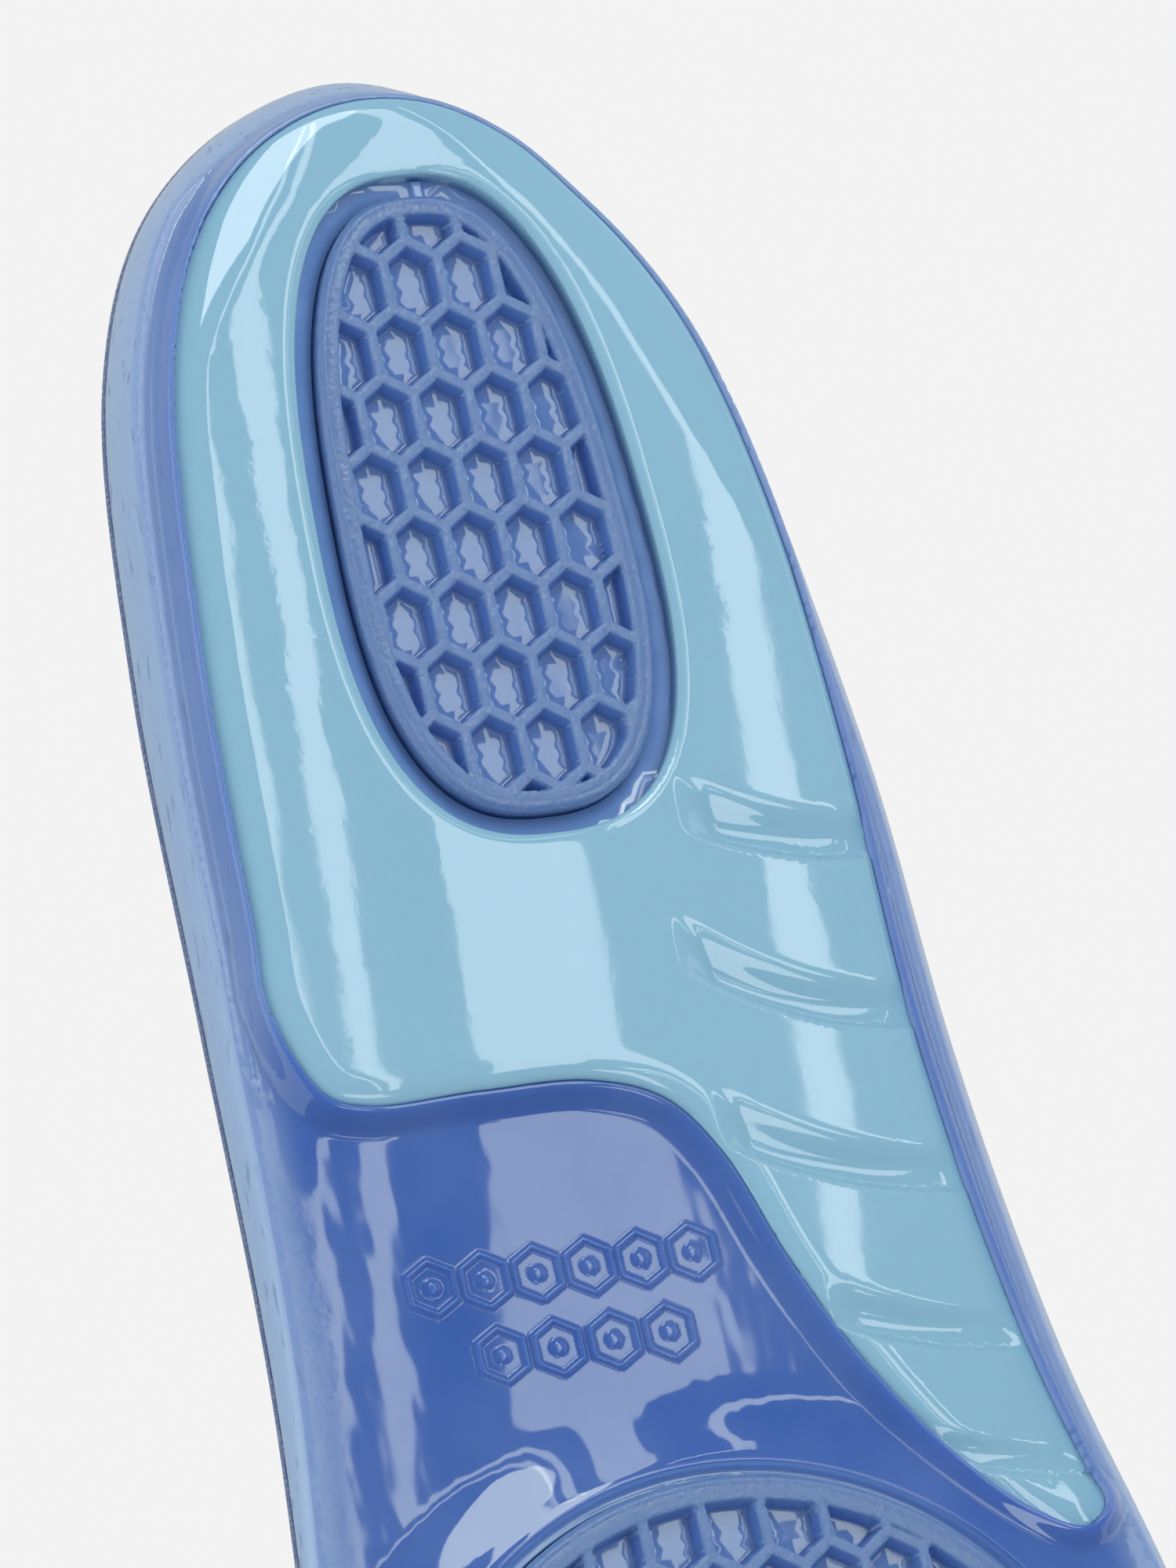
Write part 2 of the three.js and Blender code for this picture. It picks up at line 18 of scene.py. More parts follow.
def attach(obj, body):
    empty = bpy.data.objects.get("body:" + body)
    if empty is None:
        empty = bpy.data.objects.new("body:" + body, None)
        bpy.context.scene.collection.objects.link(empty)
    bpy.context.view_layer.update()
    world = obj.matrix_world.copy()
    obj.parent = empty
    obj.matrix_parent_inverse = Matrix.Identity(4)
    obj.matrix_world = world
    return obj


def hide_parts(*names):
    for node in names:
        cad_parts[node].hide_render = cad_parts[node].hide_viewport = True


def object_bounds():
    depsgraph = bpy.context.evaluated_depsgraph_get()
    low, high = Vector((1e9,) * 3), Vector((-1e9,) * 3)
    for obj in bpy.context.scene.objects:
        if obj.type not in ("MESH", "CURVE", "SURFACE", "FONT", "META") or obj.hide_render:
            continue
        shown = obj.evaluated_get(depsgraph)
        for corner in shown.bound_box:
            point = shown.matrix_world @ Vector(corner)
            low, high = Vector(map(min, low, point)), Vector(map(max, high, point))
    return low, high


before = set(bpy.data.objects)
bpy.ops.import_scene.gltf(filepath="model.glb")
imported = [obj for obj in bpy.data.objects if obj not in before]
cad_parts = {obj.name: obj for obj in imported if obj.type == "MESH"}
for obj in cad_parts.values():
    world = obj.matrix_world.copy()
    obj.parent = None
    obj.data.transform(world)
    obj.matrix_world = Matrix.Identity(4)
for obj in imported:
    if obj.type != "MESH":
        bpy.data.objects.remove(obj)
CAD_LOW, CAD_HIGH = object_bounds()

MM = 0.001

# ---------- driving sizes, the same as the CAD source's ----------

LENGTH = 290  # back of the heel to the tip of the toe
WIDTH_MEDIAL = 52.0  # from the heel axis to the inner side of the ball
WIDTH_LATERAL = 44.5  # from the heel axis to the outer side of the ball
COVER_THICK = 0.9
FILM_THICK = 0.15
LAYER_GAP = 0.1  # between cover, film and gel
HEEL_TOP, ARCH_TOP, FOREFOOT_TOP = 5.8, 7.4, 5.6  # cover height along the middle
HEEL_RIM, ARCH_RIM, WAIST_RIM = 11.3, 14.5, 9.6  # cover height at the rim
# How far the rim overhangs the underside.
HEEL_FLARE, HEEL_INNER_FLARE, HEEL_BACK_FLARE = 3.9, 2.6, 4.5
ARCH_FLARE, FOREFOOT_FLARE = 7.2, 2.6
SOLE = 1.0  # underside of the gel beside the frame and the pads
RECESS = 2.6  # underside of the gel under the waist
RECESS_RAMP = 11  # length of the slope from the recess to the ball pad
RECESS_END = 26  # how far behind the ball pad's middle the recess starts to close
FRAME_THICK = 2.4
FRAME_LIP = 0.8  # gel left showing around the frame
FRAME_FRONT = 111.4  # y of the frame's straight front edge
WINDOW = (1.4, 50.0, 17.8, 35.9)  # heel window: x, y, half width, half length
WINDOW_POWER, WINDOW_SKEW = 2.6, 0.1  # fullness of its egg shape, and how it widens
MOAT = 2.4  # trench between the heel pad and the frame
PAD_THICK = 2.9
BALL_PAD = (1.0, 188.6, 36.6, 34.6)
CELL_DEPTH = 2.2
RIB_WIDTH = 1.15
ROW_RATIO = 1.212  # row pitch over cell pitch
POINT_RATIO = 0.327  # height of a cell's pointed end over cell pitch
SPINE_HEEL, SPINE_TOE = (1.2, 34), (4.5, LENGTH - 44)  # ends of the middle line
CUP_START = 0.32  # the dish is flat inside this share of its half width

# The heel axis at the back of the heel, in the frame's axes.
ORIGIN = np.array([CAD_LOW.x / MM + WIDTH_LATERAL, CAD_LOW.y / MM, CAD_LOW.z / MM])

IN, OUT = WIDTH_MEDIAL, -WIDTH_LATERAL
# The rim, as x, share of the length, height and flare, from the back of the heel and
# round by the arch.
RIM_ROWS = [
    (0.02 * IN, 0, HEEL_RIM, HEEL_BACK_FLARE),
    (0.25 * IN, 0.0195, HEEL_RIM, HEEL_INNER_FLARE),
    (0.447 * IN, 0.0562, HEEL_RIM, HEEL_INNER_FLARE),
    (0.602 * IN, 0.1034, HEEL_RIM, HEEL_INNER_FLARE),
    (0.715 * IN, 0.1724, 0.7 * HEEL_RIM + 0.3 * ARCH_RIM, 0.8 * HEEL_INNER_FLARE + 0.2 * ARCH_FLARE),
    (0.795 * IN, 0.269, 0.25 * HEEL_RIM + 0.75 * ARCH_RIM, 0.35 * HEEL_INNER_FLARE + 0.65 * ARCH_FLARE),
    (0.832 * IN, 0.386, ARCH_RIM, ARCH_FLARE),
    (0.884 * IN, 0.493, 0.72 * ARCH_RIM + 0.28 * FOREFOOT_TOP, 0.8 * ARCH_FLARE + 0.2 * FOREFOOT_FLARE),
    (0.96 * IN, 0.586, 0.2 * ARCH_RIM + 0.8 * FOREFOOT_TOP, 0.3 * ARCH_FLARE + 0.7 * FOREFOOT_FLARE),
    (IN, 0.676, FOREFOOT_TOP, FOREFOOT_FLARE),
    (0.952 * IN, 0.786, FOREFOOT_TOP, FOREFOOT_FLARE),
    (0.79 * IN, 0.886, FOREFOOT_TOP, FOREFOOT_FLARE),
    (0.5 * IN, 0.966, FOREFOOT_TOP, FOREFOOT_FLARE),
    (0.13 * IN, 1, FOREFOOT_TOP, FOREFOOT_FLARE),
    (0.27 * OUT, 0.979, FOREFOOT_TOP, FOREFOOT_FLARE),
    (0.652 * OUT, 0.903, FOREFOOT_TOP, FOREFOOT_FLARE),
    (0.91 * OUT, 0.803, FOREFOOT_TOP, FOREFOOT_FLARE),
    (OUT, 0.697, FOREFOOT_TOP, FOREFOOT_FLARE),
    (0.957 * OUT, 0.586, 0.15 * WAIST_RIM + 0.85 * FOREFOOT_TOP, 0.3 * HEEL_FLARE + 0.7 * FOREFOOT_FLARE),
    (0.877 * OUT, 0.469, 0.6 * WAIST_RIM + 0.4 * FOREFOOT_TOP, 0.7 * HEEL_FLARE + 0.3 * FOREFOOT_FLARE),
    (0.84 * OUT, 0.338, WAIST_RIM, HEEL_FLARE),
    (0.806 * OUT, 0.214, 0.8 * HEEL_RIM + 0.2 * WAIST_RIM, HEEL_FLARE),
    (0.71 * OUT, 0.1034, HEEL_RIM, HEEL_FLARE),
    (0.535 * OUT, 0.0455, HEEL_RIM, HEEL_FLARE),
    (0.27 * OUT, 0.0114, HEEL_RIM, HEEL_FLARE),
]
# The frame's free front edge, from the wing's tip to the outer corner: x, and y past
# FRAME_FRONT.
FRONT_ROWS = [
    (43.4, 50.6), (40.4, 52.8), (34.3, 49.7), (27.1, 42.1), (20.2, 31.6), (15.3, 20.8),
    (11.2, 9.6), (6.4, 3.2), (-1, 0.4), (-13, 0), (-25.2, 0), (-29.2, -1.8),
]
WING_TIP = FRAME_FRONT + 47  # y where the wing leaves the edge of the sole
OUTER_CORNER = FRAME_FRONT - 6.5  # y where the outer arm leaves it
# Grooves of the wing: x where each starts and ends, then its edge toward the heel and its
# edge toward the toes, as y past FRAME_FRONT at the start and at the end.
GROOVES = [
    (15.1, 36.0, -30.3, -23.8, -24.2, -19.0),
    (11.3, 35.0, -15.9, -5.5, -10.2, -0.9),
    (10.8, 38.0, 2.4, 12.5, 8.4, 16.8),
    (18.0, 41.0, 23.3, 30.2, 28.4, 34.0),
    (26.5, 43.0, 40.2, 44.6, 43.6, 47.6),
]

# ---------- small maths ----------

CHUNK = 4000  # points measured at a time, which keeps the arrays small


def smooth(value, low, high):
    """0 below low and 1 above high, with a smooth step between them."""
    t = np.clip((value - low) / (high - low), 0, 1)
    return t * t * (3 - 2 * t)


def mix(a, b, t):
    """a where t is 0 and b where it is 1."""
    return a + (b - a) * t


def bell(distance, width):
    return np.exp(-((distance / width) ** 2))


def to_frame(points):
    return (np.asarray(points, float) + ORIGIN) * MM


def even_points(path, count, metric=2):
    """Evenly spaced points along a path that ends where it starts."""
    steps = np.linalg.norm(np.diff(path[:, :metric], axis=0), axis=1)
    length = np.concatenate([[0], np.cumsum(steps)])
    at = np.arange(count) / count * length[-1]
    return np.stack([np.interp(at, length, column) for column in path.T], 1)


def closed_curve(rows, count, metric=3, per_span=30):
    """Evenly spaced points on the centripetal Catmull-Rom loop through the rows."""
    p = np.asarray(rows, float)
    n = len(p)
    t = (np.arange(per_span) / per_span)[:, None]
    spans = []
    for i in range(n):
        a, b, c, d = p[i - 1], p[i], p[(i + 1) % n], p[(i + 2) % n]
        before, here, after = (
            math.sqrt(np.linalg.norm((u - v)[:metric])) for u, v in ((b, a), (c, b), (d, c))
        )
        out = ((b - a) / before - (c - a) / (before + here) + (c - b) / here) * here
        into = ((c - b) / here - (d - b) / (here + after) + (d - c) / after) * here
        spans.append(
            b + out * t + (3 * (c - b) - 2 * out - into) * t**2 + (2 * (b - c) + out + into) * t**3
        )
    return even_points(np.concatenate(spans + [p[:1]]), count, metric)


def outward(loop):
    """Unit normals that point out of a counter-clockwise loop."""
    along = np.roll(loop[:, :2], -1, 0) - np.roll(loop[:, :2], 1, 0)
    normal = np.stack([along[:, 1], -along[:, 0]], 1)
    return normal / np.linalg.norm(normal, axis=1)[:, None]


def offset(loop, distance):
    distance = np.broadcast_to(distance, len(loop))
    return loop[:, :2] + outward(loop) * distance[:, None]


def inside(points, loop):
    a, b = loop[:, :2], np.roll(loop[:, :2], -1, 0)
    found = np.zeros(len(points), bool)
    for part in range(0, len(points), CHUNK):
        p = points[part:part + CHUNK, None, :2]
        spans = (a[:, 1] > p[..., 1]) != (b[:, 1] > p[..., 1])
        rise = np.where(b[:, 1] == a[:, 1], 1e-9, b[:, 1] - a[:, 1])
        crosses = p[..., 0] < (b[:, 0] - a[:, 0]) * (p[..., 1] - a[:, 1]) / rise + a[:, 0]
        found[part:part + CHUNK] = (spans & crosses).sum(1) % 2 == 1
    return found


def loop_distance(points, loop):
    """Signed distance to a loop, positive outside it, and the nearest place along it."""
    a = loop[:, :2]
    along = np.roll(a, -1, 0) - a
    size = (along**2).sum(1)
    best, place = np.zeros(len(points)), np.zeros(len(points))
    for part in range(0, len(points), CHUNK):
        away = points[part:part + CHUNK, None, :2] - a
        t = np.clip((away * along).sum(2) / size, 0, 1)
        far = ((away - t[..., None] * along) ** 2).sum(2)
        k = far.argmin(1)
        row = np.arange(len(k))
        best[part:part + CHUNK] = np.sqrt(far[row, k])
        place[part:part + CHUNK] = k + t[row, k]
    return np.where(inside(points, loop), -best, best), place


def along_loop(values, place):
    wrapped = np.append(values, values[0])
    return np.interp(place, np.arange(len(wrapped)), wrapped)


# ---------- outlines ----------

RIM_STEPS = 480
CONTROL_STEPS = 72  # the frame's edge follows this many stations of the rim
EDGE_STEPS = 560
HEEL_PAD_STEPS = 240
BALL_PAD_STEPS = 360
EGG_DETAIL = 4  # points drawn for each one kept


def spine(y):
    """The middle line of the foot side, from the heel to the toes."""
    share = np.clip(np.asarray(y) / LENGTH, 0, 1)
    return np.stack([mix(a, b, share) for a, b in zip(SPINE_HEEL, SPINE_TOE)], -1)


def frame_outline(rim_rows):
    """x, y and 1 where the edge is the free front edge, 0 along the sole's edge."""
    rim = closed_curve(rim_rows, CONTROL_STEPS)
    edge = offset(rim, -(rim[:, 3] + FRAME_LIP))
    inner = rim[:, 0] > spine(rim[:, 1])[:, 0]
    limit = np.where(inner, WING_TIP, OUTER_CORNER)
    kept = edge[:, 1] <= limit
    start = next(i for i in range(len(edge)) if kept[i] and not kept[i - 1] and not inner[i])
    order = [(start + i) % len(edge) for i in range(len(edge))]
    heel = [(*edge[i], 0.0) for i in order if kept[i]]
    front = [(x, y + FRAME_FRONT, 1.0) for x, y in FRONT_ROWS]
    return closed_curve(heel + front, EDGE_STEPS, metric=2)


def egg(outline, power, skew, count):
    """A superellipse that widens toward the toes, as evenly spaced points."""
    x, y, half_width, half_length = outline
    angle = -2 * math.pi * np.arange(count * EGG_DETAIL) / (count * EGG_DETAIL)
    along = np.sign(np.cos(angle)) * np.abs(np.cos(angle)) ** (2 / power)
    across = np.sign(np.sin(angle)) * np.abs(np.sin(angle)) ** (2 / power)
    dense = np.stack([x + half_width * across * (1 + skew * along), y + half_length * along], 1)
    return even_points(np.vstack([dense, dense[:1]]), count)


def grown(outline, by):
    x, y, half_width, half_length = outline
    return x, y, half_width + by, half_length + by


def heel_loop(outline):
    """The heel window's egg shape at an outline's size."""
    return egg(outline, WINDOW_POWER, WINDOW_SKEW, HEEL_PAD_STEPS)


def ball_loop(by):
    """The ball pad's ellipse, grown by a distance."""
    return egg(grown(BALL_PAD, by), 2, 0, BALL_PAD_STEPS)


def ball_distance(points):
    """Distance outside the ball pad's ellipse, near enough close to it."""
    x, y, half_width, half_length = BALL_PAD
    level = np.hypot((points[:, 0] - x) / half_width, (points[:, 1] - y) / half_length)
    return (level - 1) * 0.5 * (half_width + half_length)


SIZED_ROWS = [(x, y * LENGTH, z, flare) for x, y, z, flare in RIM_ROWS]
RIM = closed_curve(SIZED_ROWS, RIM_STEPS)
FRAME_EDGE = frame_outline(SIZED_ROWS)
WINDOW_EDGE = heel_loop(WINDOW)
HEEL_PAD = grown(WINDOW, -MOAT)
HEEL_PAD_EDGE = heel_loop(HEEL_PAD)
BALL_PAD_EDGE = ball_loop(0)

# ---------- meshes ----------

FILL_CLEARANCE = 0.62  # a fill stays this share of its spacing from the points there


def make_piece(name, points, faces, material):
    mesh = bpy.data.meshes.new(name)
    mesh.from_pydata([tuple(p) for p in to_frame(points)], [], [tuple(f) for f in faces])
    mesh.validate()
    mesh.update()
    mesh.polygons.foreach_set("use_smooth", [True] * len(mesh.polygons))
    piece = bpy.data.objects.new(name, mesh)
    bpy.context.scene.collection.objects.link(piece)
    mesh.materials.append(material)
    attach(piece, "root")
    return piece


def add_value(piece, name, values):
    layer = piece.data.attributes.new(name, "FLOAT", "POINT")
    layer.data.foreach_set("value", np.asarray(values, np.float32))


def grid(low, high, spacing):
    """Points of a triangular grid over a box."""
    rows = np.arange(low[1], high[1], spacing * math.sqrt(0.75))
    points = []
    for i, y in enumerate(rows):
        xs = np.arange(low[0] + (i % 2) * spacing / 2, high[0], spacing)
        points.append(np.stack([xs, np.full(len(xs), y)], 1))
    return np.concatenate(points)


def thinned(kept, candidates, clear):
    """The candidates that lie further than clear from every kept point."""
    tree = KDTree(len(kept))
    for i, (x, y) in enumerate(kept):
        tree.insert((x, y, 0), i)
    tree.balance()
    far = [tree.find((x, y, 0))[2] > clear for x, y in candidates]
    return candidates[np.array(far, bool)]


def fill(low, high, spacing):
    return grid(low, high, spacing), spacing


def ring_features(ring_at, distances, close, wide):
    """Rings of points at distances from an edge, spaced more closely right beside it."""
    return [(ring_at(d), close if d < 0.2 else wide) for d in distances]


def spread_points(boundary, holes, features, fills):
    """Points inside a boundary: its own, those of its holes, then features, then fills.

    A feature is (points, clearance) and a fill is (grid points, spacing).
    """
    kept = np.concatenate([boundary, *holes])
    spaced = [(points, FILL_CLEARANCE * spacing) for points, spacing in fills]
    for points, clear in [*features, *spaced]:
        good = inside(points, boundary)
        for hole in holes:
            good &= ~inside(points, hole)
        kept = np.concatenate([kept, thinned(kept, points[good], clear)])
    return kept


def triangulated(points, loops):
    """Triangles between the points, inside the first loop and outside the others.

    The loops' own points come first in the list, loop by loop.
    """
    edges, start = [], 0
    for loop in loops:
        edges += [(start + i, start + (i + 1) % len(loop)) for i in range(len(loop))]
        start += len(loop)
    nearest = 1e-7  # closer points than this would merge
    found = delaunay_2d_cdt([Vector(p) for p in points], edges, [], 0, nearest)
    places, faces, origins = found[0], found[2], found[3]
    source = [o[0] if o else -1 for o in origins]
    if len(places) != len(points) or -1 in source:
        raise ValueError("two points of a relief coincide")
    faces = np.array([[source[i] for i in face] for face in faces])
    centres = points[faces].mean(1)
    good = inside(centres, loops[0])
    for loop in loops[1:]:
        good &= ~inside(centres, loop)
    faces = faces[good]
    a, b, c = (points[faces[:, i]] for i in range(3))
    turn = (b - a)[:, 0] * (c - a)[:, 1] - (b - a)[:, 1] * (c - a)[:, 0]
    faces[turn < 0] = faces[turn < 0][:, ::-1]
    return faces


def closed_relief(points, heights, loops, top):
    """A closed body whose underside is the relief and whose top is flat at a height."""
    count = sum(len(loop) for loop in loops)
    under = triangulated(points, loops)[:, ::-1]
    rims = np.concatenate(loops)
    over = triangulated(rims, loops) + len(points)
    sides, start = [], 0
    for number, loop in enumerate(loops):
        for i in range(len(loop)):
            a, b = start + i, start + (i + 1) % len(loop)
            side = (a, b, b + len(points), a + len(points))
            sides.append(side if number == 0 else side[::-1])
        start += len(loop)
    low = np.column_stack([points, heights])
    high = np.column_stack([points[:count], np.full(count, top)])
    return np.vstack([low, high]), [*under.tolist(), *over.tolist(), *sides]


def loft(rings):
    """Quads between neighbouring rings with equal counts."""
    count = len(rings[0])
    faces = []
    for ring in range(len(rings) - 1):
        for i in range(count):
            a, b = ring * count + i, ring * count + (i + 1) % count
            faces.append((a, b, b + count, a + count))
    return faces


def zip_cap(loop, start, flip):
    """Triangles across a narrow loop that runs from the heel, its first point, to the toe."""
    faces = []
    low, high = 0, len(loop) - 1
    while high - low > 1:
        if loop[low + 1][1] <= loop[high - 1][1]:
            face = (low, low + 1, high)
            low += 1
        else:
            face = (low, high - 1, high)
            high -= 1
        faces.append(tuple(start + i for i in (face[::-1] if flip else face)))
    return faces


# ---------- foot side: cover and film ----------

FOOT_SHARES = [0.1, 0.22, 0.34, 0.46, 0.57, 0.67, 0.76, 0.84, 0.91, 0.96, 0.985]
EDGE_TURNS = (0.15, 0.5, 0.85)  # rings round a sheet's rounded edge
COVER_BULGE = 0.18  # how far the cover's cut edge bulges out
ARCH_CLIMB = (0.25, 0.38)  # shares of the length where the cover rises to the arch
FOREFOOT_FALL = (0.4, 0.55)  # and where it falls again
FILM_DEPTH = COVER_THICK + LAYER_GAP
GEL_DEPTH = FILM_DEPTH + FILM_THICK + LAYER_GAP


def cover_centre(y):
    to_arch = smooth(y, *(share * LENGTH for share in ARCH_CLIMB))
    to_forefoot = smooth(y, *(share * LENGTH for share in FOREFOOT_FALL))
    return mix(mix(HEEL_TOP, ARCH_TOP, to_arch), FOREFOOT_TOP, to_forefoot)


def foot_ring(share, depth):
    """A ring of the dished foot side, at a share of the way out and a depth below it."""
    middle = spine(RIM[:, 1])
    plan = mix(middle, RIM[:, :2], share)
    climb = max(0.0, (share - CUP_START) / (1 - CUP_START)) ** 2
    height = mix(cover_centre(plan[:, 1]), RIM[:, 2], climb) - depth
    return np.column_stack([plan, height])


def foot_sheet(top, bottom, shares, bulge=0.0):
    """A sheet between two depths below the foot side, with a rounded edge."""
    over = [foot_ring(share, top) for share in shares]
    under = [foot_ring(share, bottom) for share in shares][::-1]
    edge = []
    for turn in EDGE_TURNS:
        ring = foot_ring(shares[-1], mix(top, bottom, turn))
        ring[:, :2] = offset(ring, bulge * math.sin(math.pi * turn))
        edge.append(ring)
    rings = over + edge + under
    last = (len(rings) - 1) * RIM_STEPS
    sides = [face[::-1] for face in loft(rings)]
    faces = zip_cap(rings[0], 0, False) + sides + zip_cap(rings[-1], last, True)
    return np.concatenate(rings), faces


# ---------- underside of the gel ----------

# Shares of the rim's flare that the side wall leans in by.
OUTER_LEAN, BACK_LEAN = 0.38, 0.84
HEEL_LEAN, ARCH_LEAN = 0.8, 0.55  # on the inner side
LEDGE = 4.2  # height of the shelf under the rim, beside the frame
LEDGE_FALL = (2.2, 5.5)  # where the shelf falls away, in from the sole's edge
ARCH_LEDGE_END, OUTER_LEDGE_END = (152, 174), (102, 120)  # y where it fades out
CREASES = (1.3, 2.5)  # fine raised lines along the ledge, in from its edge
CREASE_HEIGHT, CREASE_WIDTH = 0.1, 0.2
CREASE_END = 0.6  # they stop where the shelf has fallen to this share
# The plinth round the frame, from the frame's edge: its flat strip and its foot, each
# along the sides and along the front.
PLINTH_STRIP, PLINTH_FOOT = (0.45, 0.3), (1.95, 3.0)
SEAT_GAP = 0.05  # between a piece and the floor of its pocket
POCKET_GAP = 0.08  # between the frame or the heel pad and the wall of its pocket
RAMP_START = 0.5  # how far from the ball pad the slope to the recess begins
CROWN_RADIUS = 560  # the frame and the recess curve up from a lowest line
CROWN_MIDDLE = (2, 85)  # x and y of a point on that line
CROWN_SLOPE, CROWN_BEND = 0.1, 115  # it leans outward, twice as much from this y on
CROWN_FADE = (160, 200)  # y where the recess loses the crown
RING_WIDTH, RING_DEPTH, RING_WALL = 1.4, 2.1, 0.35  # groove round the ball pad
RING_GAP, RING_FLAT = 0.05, 0.2  # where it starts and where its floor is full, from the pad
LIP_HEIGHT, LIP_PLACE, LIP_WIDTH = 0.18, 0.5, 0.35  # raised line round the groove
GATE_X, GATE_HEIGHT = 3.4, 0.5  # a small bar across the moat, where the gel was poured
GATE_HALF = (0.5, 0.72)  # its half width, at the top and at the foot
GATE_PAD_GAP, GATE_FRAME_GAP = 0.15, 0.1  # what it leaves free at its two ends
MARK_HEIGHT = 0.42
MARK_LINE = (0.1, 0.34)  # half width of a mark's line, at the top and at the foot
MARK_DOT, DOT_HEIGHT = (0.5, 0.95), 0.7  # radii of the dot in it, and its share of the height
# Two rows of outlined hexagons in the recess: first x, y, count, pitch, radius.
MARK_ROWS = [(-22.0, 130.4, 6, 5.6, 2.8), (-16.4, 138.2, 4, 6.0, 2.8)]


def wall_inset():
    """How far the side wall leans in, from the rim to the edge of the sole."""
    x, y, flare = RIM[:, 0], RIM[:, 1], RIM[:, 3]
    inner = smooth(x - spine(y)[:, 0], -8, 8)
    share = mix(OUTER_LEAN, mix(HEEL_LEAN, ARCH_LEAN, smooth(y, 50, 95)), inner)
    return flare * mix(BACK_LEAN, share, smooth(y, 4, 14))


WALL_INSET = wall_inset()
SOLE_EDGE = offset(RIM, -WALL_INSET)


def crown(points, outer_only=False):
    """Rise of the gentle crown that runs along the heel and the waist."""
    x, y = points[:, 0], points[:, 1]
    bend = CROWN_SLOPE * np.maximum(0, y - CROWN_BEND)
    away = x - (CROWN_MIDDLE[0] - CROWN_SLOPE * (y - CROWN_MIDDLE[1]) - bend)
    if outer_only:
        away = np.minimum(away, 0)
    return away**2 / (2 * CROWN_RADIUS)


def recess_height(points):
    ramp = smooth(ball_distance(points), RAMP_START, RECESS_RAMP)
    behind = 1 - smooth(points[:, 1], BALL_PAD[1] - RECESS_END, BALL_PAD[1])
    waist = 1 - smooth(points[:, 1], *CROWN_FADE)
    return mix(SOLE, RECESS, ramp * behind) + crown(points, outer_only=True) * waist


def ledge_share(points, from_edge):
    """1 on the shelf under the rim, falling to 0 beside it and past its ends."""
    y = points[:, 1]
    ended = np.where(points[:, 0] > 0, smooth(y, *ARCH_LEDGE_END), smooth(y, *OUTER_LEDGE_END))
    return (1 - smooth(from_edge, *LEDGE_FALL)) * (1 - ended)


def creases(from_edge):
    return sum(CREASE_HEIGHT * bell(from_edge - place, CREASE_WIDTH) for place in CREASES)


def plinth_share(from_frame, front):
    """1 on the plinth's flat strip, falling to 0 at its foot."""
    strip = mix(*PLINTH_STRIP, front)
    foot = mix(*PLINTH_FOOT, front)
    climb = 1 - np.clip((from_frame - strip) / (foot - strip), 0, 1)
    return climb * climb * (3 - 2 * climb)


def hexagon_distance(points, x, y, radius):
    """Distance to the outline of a hexagon that stands on a corner."""
    dx, dy = points[:, 0] - x, points[:, 1] - y
    sides = [abs(dx * math.cos(a) + dy * math.sin(a)) for a in (0, math.pi / 3, -math.pi / 3)]
    return np.max(sides, axis=0) - radius * math.cos(math.pi / 6)


def marks_relief(points):
    lift = np.zeros(len(points))
    for x, y, count, pitch, radius in MARK_ROWS:
        for i in range(count):
            away = np.abs(hexagon_distance(points, x + i * pitch, y, radius))
            lift = np.maximum(lift, 1 - smooth(away, *MARK_LINE))
            dot = np.hypot(points[:, 0] - x - i * pitch, points[:, 1] - y)
            lift = np.maximum(lift, DOT_HEIGHT * (1 - smooth(dot, *MARK_DOT)))
    return MARK_HEIGHT * lift


def with_ball_ring(height, ring):
    """Adds the groove and the lip round the ball pad, and the pocket that holds the pad."""
    inner_wall = smooth(ring, RING_GAP, RING_WALL)
    groove = inner_wall * (1 - smooth(ring, RING_WIDTH - RING_WALL, RING_WIDTH))
    lip = LIP_HEIGHT * bell(ring - RING_WIDTH - LIP_PLACE, LIP_WIDTH) * (ring > 0)
    floor = np.maximum(RING_DEPTH, height)
    height = mix(height - lip, floor, np.where(ring < RING_FLAT, 1, groove))
    return np.where(ring < RING_GAP, PAD_THICK + SEAT_GAP, height)


def pocket_height(points):
    """Floor of the frame's pocket, with the heel pad's deeper one and the gate bar."""
    pad = loop_distance(points, HEEL_PAD_EDGE)[0]
    window = loop_distance(points, WINDOW_EDGE)[0]
    in_gate = (pad > GATE_PAD_GAP) & (window < -GATE_FRAME_GAP) & (points[:, 1] < WINDOW[1])
    gate = GATE_HEIGHT * in_gate * (1 - smooth(abs(points[:, 0] - GATE_X), *GATE_HALF))
    return np.where(pad < POCKET_GAP, PAD_THICK + SEAT_GAP, FRAME_THICK + SEAT_GAP - gate)


def under_height(points):
    """Underside of the gel, and 1 where a point lies in a trench, which is painted paler as painted
    light.
    """
    from_frame, place = loop_distance(points, FRAME_EDGE)
    front = np.clip(along_loop(FRAME_EDGE[:, 2], place), 0, 1)
    from_edge = -loop_distance(points, SOLE_EDGE)[0]
    ledge = ledge_share(points, from_edge)
    base = mix(recess_height(points), LEDGE, ledge)
    base -= np.where(ledge > CREASE_END, creases(from_edge), 0)
    height = mix(base, SOLE, plinth_share(from_frame, front)) - marks_relief(points)
    ring = ball_distance(points)
    pocket = from_frame < POCKET_GAP
    height = np.where(pocket, pocket_height(points), with_ball_ring(height, ring))
    # the trenches: the frame's pocket, the moat and the groove round the ball pad; the gel is painted
    # paler there, as painted light
    trench = np.where(pocket | ((ring > -1) & (ring < RING_WIDTH)), 1.0, 0.0)
    return height, trench


